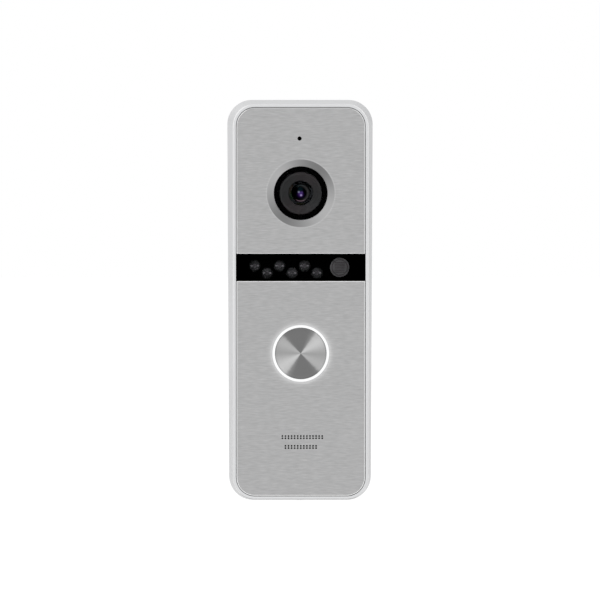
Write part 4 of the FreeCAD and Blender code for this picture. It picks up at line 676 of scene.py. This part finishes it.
def paint_nodes():
    """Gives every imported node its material."""
    mask = mask_black()
    dark = moulded("moulded_black", (0.028, 0.028, 0.029), 0.5)
    lens = lens_black()
    nylon = moulded("nylon_white", (0.78, 0.77, 0.72), 0.42, 0.5 * MM, 0.004 * MM)
    zinc = metal("zinc_steel", (0.66, 0.67, 0.69), 0.3)
    can = metal("can_aluminium", (0.74, 0.75, 0.76), 0.3)
    green = board_green()
    rubber = rubber_black()
    wire = sheath("wire_sheath", (0.45, 0.03, 0.02))
    glosses = {
        "front_casing": casing_silver(), "upper_face_plate": upper_plate(),
        "lower_face_plate": lower_plate(), "plate_adhesive": foam_tape(),
        "sensor_window": window_acrylic(), "camera_cover_glass": cover_glass(),
        "glass_mask_ring": mask, "lens_stop": mask, "diode_bezel": mask,
        "lens_barrel": lens, "lens_lock_ring": lens,
        "front_lens_element": front_element(), "inner_lens_element": inner_element(),
        "lens_mount": dark, "infrared_board_header": dark, "call_button_carrier": dark,
        "switch_body": dark, "image_sensor": sensor_face(),
        "camera_board": green, "infrared_board": green, "main_board": green,
        "infrared_leds": diode_resin(), "light_sensor": photocell(),
        "infrared_board_spacers": nylon, "switch_plunger": nylon, "ring_leds": nylon,
        "board_connectors": nylon, "pigtail_plug": nylon,
        "call_button_cap": turned_cap(), "button_light_ring": ring_diffuser(),
        "call_button_spring": metal("spring_steel", (0.62, 0.62, 0.64), 0.22),
        "speaker_mesh": speaker_weave(), "speaker_gasket": rubber, "speaker_frame": zinc,
        "speaker_magnet": zinc, "speaker_cone": cone_film(),
        "microphone_capsule": capsule_can(), "board_capacitors": can, "microphone_boot": rubber,
        "board_chips": moulded("chip_black", (0.02, 0.02, 0.022), 0.45, 0.15 * MM),
        "trimmer_body": moulded("trimmer_blue", (0.02, 0.09, 0.36), 0.35),
        "trimmer_rotor": metal("rotor_brass", (0.72, 0.52, 0.22), 0.3),
        "main_board_screws": zinc, "camera_board_screws": zinc, "rear_cover_screws": zinc,
        "locking_screw": zinc, "rear_cover_seal": rubber, "wire_grommet": rubber,
        "rear_cover": moulded("cover_plastic", (0.045, 0.045, 0.048), 0.55, 0.5 * MM,
                              0.03 * MM),
        "pigtail_wires": wire, "speaker_wires": wire, "microphone_wires": wire,
        "camera_ribbon": ribbon_film(), "mounting_bracket": bracket_steel(),
    }
    for name, node in NODES.items():
        node.data.materials.clear()
        node.data.materials.append(glosses[name])


# ---------------------------------------------------------------- shapes of the pieces made here

def bridge(shape, first, second):
    """Faces between two rings of vertices, either of which may be a single point."""
    count = max(len(first), len(second))
    for index in range(count):
        following = (index + 1) % count
        corners = [first[index % len(first)], first[following % len(first)],
                   second[following % len(second)], second[index % len(second)]]
        shape.faces.new(list(dict.fromkeys(corners)))


def lathe(shape, axis, profile, steps=40):
    """A turned solid about an axis along Y, from (radius, depth) points that start and end on it."""
    rings = []
    for radius, depth in profile:
        if radius == 0:
            rings.append([shape.verts.new((axis.x, -depth, axis.z))])
            continue
        turns = [2 * math.pi * step / steps for step in range(steps)]
        rings.append([shape.verts.new((axis.x + radius * math.sin(turn), -depth,
                                       axis.z + radius * math.cos(turn))) for turn in turns])
    for first, second in zip(rings, rings[1:]):
        bridge(shape, first, second)


def smooth_path(corners, steps=12):
    """Points along a Catmull-Rom curve through the corners."""
    corners = [Vector(corner) for corner in corners]
    padded = [2 * corners[0] - corners[1], *corners, 2 * corners[-1] - corners[-2]]
    path = []
    for a, b, c, d in zip(padded, padded[1:], padded[2:], padded[3:]):
        for step in range(steps):
            share = step / steps
            path.append(0.5 * (2 * b + (c - a) * share + (2 * a - 5 * b + 4 * c - d) * share ** 2
                               + (3 * b - 3 * c + d - a) * share ** 3))
    return path + [corners[-1]]


def tube(shape, path, radius, sides=16, loop=False):
    """A round wire along a path, with closed ends unless the path is a loop."""
    aside = (path[1] - path[0]).orthogonal().normalized()
    rings = []
    for index, point in enumerate(path):
        if loop:
            along = path[(index + 1) % len(path)] - path[index - 1]
        else:
            along = path[min(index + 1, len(path) - 1)] - path[max(index - 1, 0)]
        along.normalize()
        aside = (aside - along * aside.dot(along)).normalized()
        up = along.cross(aside)
        turns = [2 * math.pi * side / sides for side in range(sides)]
        rings.append([shape.verts.new(point + radius * (aside * math.cos(turn)
                                                        + up * math.sin(turn)))
                      for turn in turns])
    if loop:
        rings.append(rings[0])
    else:
        rings = [[shape.verts.new(path[0])], *rings, [shape.verts.new(path[-1])]]
    for first, second in zip(rings, rings[1:]):
        bridge(shape, first, second)


def block(shape, low, high, edge):
    """A box with rounded edges."""
    made = bmesh.ops.create_cube(shape, size=1.0)["verts"]
    for vertex in made:
        vertex.co = Vector(high[axis] if vertex.co[axis] > 0 else low[axis] for axis in range(3))
    edges = list({edge_of for vertex in made for edge_of in vertex.link_edges})
    bmesh.ops.bevel(shape, geom=edges, offset=edge, segments=2, profile=0.5, affect="EDGES")


def material_of(node):
    """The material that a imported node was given."""
    return NODES[node].data.materials[0]


def piece(name, shape, material, body, slot, *stands_for):
    """Turns a shape into a named object that rides on a body, in place of any nodes it stands for."""
    bmesh.ops.recalc_face_normals(shape, faces=shape.faces)
    mesh = bpy.data.meshes.new(name)
    shape.to_mesh(mesh)
    shape.free()
    mesh.shade_smooth()
    mesh.set_sharp_from_angle(angle=math.radians(32))
    mesh.materials.append(material)
    made = bpy.data.objects.new(name, mesh)
    bpy.context.scene.collection.objects.link(made)
    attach(made, body)
    if stands_for:
        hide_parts(*stands_for)
    return made


# ---------------------------------------------------------------- infrared diodes and photocell

DIODE_COUNT = 6
DIODE_FLANGE = 2.4 * MM
DIODE_RADIUS = 2.15 * MM


def diode_axes():
    """The diodes' axes: evenly spaced, every second one lower."""
    low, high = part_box("infrared_leds")
    pitch = (high.x - low.x - 2 * DIODE_FLANGE) / (DIODE_COUNT - 1)
    upper, lower = high.z - DIODE_FLANGE, low.z + DIODE_FLANGE
    return [Vector((low.x + DIODE_FLANGE + pitch * index, 0, lower if index % 2 else upper))
            for index in range(DIODE_COUNT)]


def diode_domes():
    """The resin: a flange, a short cylinder and a dome."""
    low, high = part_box("infrared_leds")
    foot, tip = -high.y, -low.y
    shoulder = tip - DIODE_RADIUS
    ledge = foot + 1.0 * MM
    edge = 0.12 * MM
    steps = 12
    dome = [(DIODE_RADIUS * math.cos(math.pi / 2 * step / steps),
             shoulder + DIODE_RADIUS * math.sin(math.pi / 2 * step / steps))
            for step in range(steps)]
    profile = [(0, foot), (DIODE_FLANGE, foot), (DIODE_FLANGE, ledge - edge),
               (DIODE_FLANGE - edge, ledge), (DIODE_RADIUS, ledge), *dome, (0, tip)]
    shape = bmesh.new()
    for axis in diode_axes():
        lathe(shape, axis, profile)
    piece("infrared_diode_domes", shape, material_of("infrared_leds"), "housing", "diode_resin",
          "infrared_leds")


def bar(shape, axis, across, up, front, length, edge):
    """A block round an axis: its half width and height, its front's place before the wall, its length."""
    block(shape, (axis.x - across, -front, axis.z - up),
          (axis.x + across, -front + length, axis.z + up), edge)


def diode_frames():
    """The metal inside each diode: a cup with the chip, the anvil under it and the two posts."""
    top = -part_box("infrared_leds")[0].y - 1.0 * MM
    wall = 0.12 * MM
    brim, foot = 0.75 * MM, 0.42 * MM
    cup_front, cup_floor, cup_rear = top - 0.4 * MM, top - 1.0 * MM, top - 1.1 * MM
    post_place = Vector((1.15 * MM, 0, 0))
    cups, posts = bmesh.new(), bmesh.new()
    for axis in diode_axes():
        lathe(cups, axis, [(0, cup_rear), (foot, cup_rear), (brim, cup_front),
                           (brim - wall, cup_front), (foot - wall, cup_floor), (0, cup_floor)], 24)
        bar(cups, axis, 1.4 * MM, 0.22 * MM, top - 0.9 * MM, 0.4 * MM, 0.05 * MM)
        bar(cups, axis, 0.18 * MM, 0.18 * MM, top - 0.8 * MM, 0.22 * MM, 0.03 * MM)
        for place in (axis - post_place, axis + post_place):
            bar(posts, place, 0.35 * MM, 0.25 * MM, top, 4.5 * MM, 0.05 * MM)
    piece("infrared_diode_cups", cups, metal("diode_cup", (0.30, 0.30, 0.30), 0.5),
          "housing", "zinc_steel")
    piece("infrared_diode_posts", posts, metal("diode_post", (0.88, 0.88, 0.88), 0.5),
          "housing", "zinc_steel")


def cell_track():
    """The photocell's zigzag track inside a ring, both standing a little proud of its face."""
    low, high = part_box("light_sensor")
    axis = (low + high) / 2
    face = low.y
    wire = 0.14 * MM
    half = 1.75 * MM
    rows = 7
    pitch = 0.56 * MM
    corners = []
    for row in range(rows):
        z = axis.z + (row - (rows - 1) / 2) * pitch
        ends = (axis.x - half, axis.x + half)
        for x in (ends if row % 2 else reversed(ends)):
            corners.append(Vector((x, face, z)))
    shape = bmesh.new()
    tube(shape, corners, wire, 8)
    ring = 2.75 * MM
    steps = 64
    turns = [2 * math.pi * step / steps for step in range(steps)]
    around = [Vector((axis.x + ring * math.sin(turn), face, axis.z + ring * math.cos(turn)))
              for turn in turns]
    tube(shape, around, wire, 8, loop=True)
    piece("light_sensor_track", shape, moulded("cell_track", (0.19, 0.175, 0.17), 0.5),
          "housing", "photocell")


# ---------------------------------------------------------------- spring, wires and plug

WIRE_COLOURS = {"red": (0.45, 0.02, 0.015), "white": (0.72, 0.71, 0.68),
                "yellow": (0.75, 0.48, 0.02), "black": (0.02, 0.02, 0.021)}
WIRE_RADIUS = 0.5 * MM
WIRE_PITCH = 2.0 * MM     # between the wires in the grommet
PIN_PITCH = 2.2 * MM      # between the contacts in the plug


def in_row(centre, pitch):
    """The places of the four wires along a row."""
    count = len(WIRE_COLOURS)
    return [centre + (index - (count - 1) / 2) * pitch for index in range(count)]


def return_spring():
    """The button's coil spring, four turns of round wire in its node's place."""
    low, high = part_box("call_button_spring")
    middle_x, middle_z = (low.x + high.x) / 2, (low.z + high.z) / 2
    wire = 0.25 * MM
    radius = (high.x - low.x) / 2 - wire
    turns = 4
    steps = 40 * turns
    first, last = high.y - wire, low.y + wire
    path = []
    for step in range(steps + 1):
        share = step / steps
        turn = 2 * math.pi * turns * share
        path.append(Vector((middle_x + radius * math.cos(turn), first + (last - first) * share,
                            middle_z + radius * math.sin(turn))))
    shape = bmesh.new()
    tube(shape, path, wire, 12)
    made = piece("return_spring", shape, material_of("call_button_spring"), "housing",
                 "spring_steel", "call_button_spring")
    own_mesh(made)


def pigtail():
    """Four coloured wires from the board's socket through the grommet, then into the plug."""
    grommet = middle("wire_grommet")
    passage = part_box("wire_grommet")[0].z
    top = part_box("pigtail_wires")[1].z
    plug = middle("pigtail_plug")
    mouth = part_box("pigtail_plug")[0].x
    bend = 2.0 * MM
    places = zip(WIRE_COLOURS.items(), in_row(grommet.x, WIRE_PITCH), in_row(plug.z, PIN_PITCH))
    for (name, colour), x, pin in places:
        corners = [(x, grommet.y, top), (x, grommet.y, (top + passage) / 2),
                   (x, grommet.y, passage)]
        if passage - pin > 3 * bend:
            corners.append((x, grommet.y, pin + 2 * bend))
        corners += [(x + bend / 3, grommet.y + 0.1 * MM, pin + bend / 3),
                    (x + bend, grommet.y + 0.3 * MM, pin),
                    (mouth - 0.4 * bend, plug.y, pin), (mouth + 0.3 * MM, plug.y, pin)]
        shape = bmesh.new()
        tube(shape, smooth_path(corners), WIRE_RADIUS)
        piece(f"pigtail_wire_{name}", shape, sheath(f"sheath_{name}", colour), "housing",
              "wire_sheath", "pigtail_wires")


def plug():
    """The plug's housing, with a window in its rear over each contact, and the contacts."""
    low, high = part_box("pigtail_plug")
    centre = (low + high) / 2
    start, end = centre.x - 1.6 * MM, centre.x + 1.0 * MM
    width = 1.1 * MM
    depth = 0.55 * MM
    pins = in_row(centre.z, PIN_PITCH)
    shape = bmesh.new()
    block(shape, low, high, 0.25 * MM)
    cuts = [((1, 0, 0), place) for place in (start, end)]
    cuts += [((0, 0, 1), pin + side * width / 2) for pin in pins for side in (-1, 1)]
    for normal, place in cuts:
        bmesh.ops.bisect_plane(shape, geom=[*shape.verts, *shape.edges, *shape.faces],
                               plane_co=Vector(normal) * place, plane_no=normal)
    windows = []
    for face in shape.faces:
        at = face.calc_center_median()
        level = any(abs(at.z - pin) < width / 10 for pin in pins)
        if face.normal.y > 0.9 and start < at.x < end and level:
            windows.append(face)
    bmesh.ops.inset_individual(shape, faces=windows, thickness=0.06 * MM, depth=-depth)
    piece("plug_housing", shape, material_of("pigtail_plug"), "housing", "nylon_white",
          "pigtail_plug")
    contacts = bmesh.new()
    margin = 0.3 * MM
    half = 0.34 * MM
    for pin in pins:
        block(contacts, (start + margin, high.y - depth - 0.07 * MM, pin - half),
              (end - margin, high.y - depth + 0.13 * MM, pin + half), 0.04 * MM)
    piece("plug_contacts", contacts, metal("contact_tin", (0.78, 0.78, 0.76), 0.25), "housing",
          "zinc_steel")


# ---------------------------------------------------------------- studio

SURROUND = {"front": 1.0, "back": 0.55, "left": 0.68, "right": 0.54, "top": 1.08,
            "bottom": 0.62}
FLOOR_BOUNCE = 0.92       # the floor's light on the object, which its own shade would take away
FRAME_HEIGHT = 214.4 * MM
CAMERA_AZIMUTH = -0.7     # degrees, to the left
CAMERA_ELEVATION = 1.6
LENS = 900                # millimetres on a 36 mm sensor


def world():
    """White behind the object; for its light, a soft surround with one value for each side."""
    made = bpy.data.worlds.new("studio")
    made.use_nodes = True
    tree = made.node_tree
    tree.nodes.clear()

    def node(kind, **settings):
        new = tree.nodes.new("ShaderNode" + kind)
        for key, value in settings.items():
            setattr(new, key, value)
        return new

    split = node("SeparateXYZ")
    tree.links.new(node("TexCoord").outputs["Generated"], split.inputs[0])
    sides = {0: (SURROUND["right"], SURROUND["left"]), 1: (SURROUND["back"], SURROUND["front"]),
             2: (SURROUND["top"], SURROUND["bottom"])}
    total = None
    for axis, values in sides.items():
        for sign, value in zip((1.0, -1.0), values):
            way = node("Math", operation="MULTIPLY")
            tree.links.new(split.outputs[axis], way.inputs[0])
            way.inputs[1].default_value = sign
            keep = node("Math", operation="MAXIMUM")
            tree.links.new(way.outputs[0], keep.inputs[0])
            keep.inputs[1].default_value = 0.0
            square = node("Math", operation="POWER")
            tree.links.new(keep.outputs[0], square.inputs[0])
            square.inputs[1].default_value = 2.0
            part = node("Math", operation="MULTIPLY_ADD")
            tree.links.new(square.outputs[0], part.inputs[0])
            part.inputs[1].default_value = value
            if total is None:
                part.inputs[2].default_value = 0.0
            else:
                tree.links.new(total, part.inputs[2])
            total = part.outputs[0]
    light = node("Background")
    tree.links.new(total, light.inputs["Strength"])
    light.inputs["Color"].default_value = (1.0, 1.0, 1.0, 1.0)
    backdrop = node("Background")
    backdrop.inputs["Color"].default_value = (1.0, 1.0, 1.0, 1.0)
    mix = node("MixShader")
    tree.links.new(node("LightPath").outputs["Is Camera Ray"], mix.inputs[0])
    tree.links.new(light.outputs[0], mix.inputs[1])
    tree.links.new(backdrop.outputs[0], mix.inputs[2])
    tree.links.new(mix.outputs[0], node("OutputWorld").inputs[0])
    bpy.context.scene.world = made


def soft_light(name, place):
    """A weak round lamp that faces the origin."""
    data = bpy.data.lights.new(name, "AREA")
    data.shape = "DISK"
    data.size = 0.9
    data.energy = 2.0
    made = bpy.data.objects.new(name, data)
    bpy.context.scene.collection.objects.link(made)
    made.location = place
    made.rotation_mode = "QUATERNION"
    made.rotation_quaternion = (-Vector(place)).to_track_quat("-Z", "Y")


def floor():
    """A plain pale floor whose sheen hides the object's shade from a low viewpoint."""
    radius = 3.0
    mesh = bpy.data.meshes.new("floor")
    shape = bmesh.new()
    bmesh.ops.create_circle(shape, cap_ends=True, segments=96, radius=radius)
    shape.to_mesh(mesh)
    shape.free()
    made = bpy.data.objects.new("floor", mesh)
    bpy.context.scene.collection.objects.link(made)
    made.location.z = cad_box[0].z - 0.05 * MM
    shader = Shader("floor_pale")
    facing = shader.add("LayerWeight", {"Blend": 0.5}).outputs["Facing"]
    depth = shader.remap(facing, 0.6, 0.96, 0.50, 0.14)
    paper = shader.tint(shader.combine(depth, depth, depth), shader.grain(2 * MM), 0.02)
    matte = shader.add("BsdfDiffuse", {"Color": paper}).outputs[0]
    sheen = shader.remap(facing, 0.6, 0.96, 0.56, 0.95)
    lift = shader.add("Emission", {"Color": (1, 1, 1), "Strength": sheen}).outputs[0]
    shown = shader.add("AddShader", {0: matte, 1: lift}).outputs[0]
    bounce = shader.add("Emission", {"Color": (1, 1, 1), "Strength": FLOOR_BOUNCE}).outputs[0]
    seen = shader.add("LightPath").outputs["Is Camera Ray"]
    mesh.materials.append(shader.finish(
        shader.add("MixShader", {0: seen, 1: bounce, 2: shown}).outputs[0]))


def camera():
    """A long lens, slightly above and to the left of straight on."""
    azimuth = math.radians(CAMERA_AZIMUTH)
    elevation = math.radians(CAMERA_ELEVATION)
    data = bpy.data.cameras.new("camera")
    data.lens = LENS
    data.sensor_width = 36
    distance = FRAME_HEIGHT * data.lens / data.sensor_width
    back = Vector((math.sin(azimuth) * math.cos(elevation),
                   -math.cos(azimuth) * math.cos(elevation), math.sin(elevation)))
    made = bpy.data.objects.new("camera", data)
    bpy.context.scene.collection.objects.link(made)
    made.location = back * distance
    made.rotation_mode = "QUATERNION"
    made.rotation_quaternion = (-back).to_track_quat("-Z", "Y")
    data.clip_start = 0.1
    data.clip_end = 20
    bpy.context.scene.camera = made


paint_nodes()
diode_domes()
diode_frames()
cell_track()
return_spring()
pigtail()
plug()
world()
floor()
camera()
soft_light("key", (-0.9, -1.3, 1.2))
soft_light("back_left", (-0.9, 1.1, 0.9))
bpy.context.scene.view_settings.view_transform = "Standard"
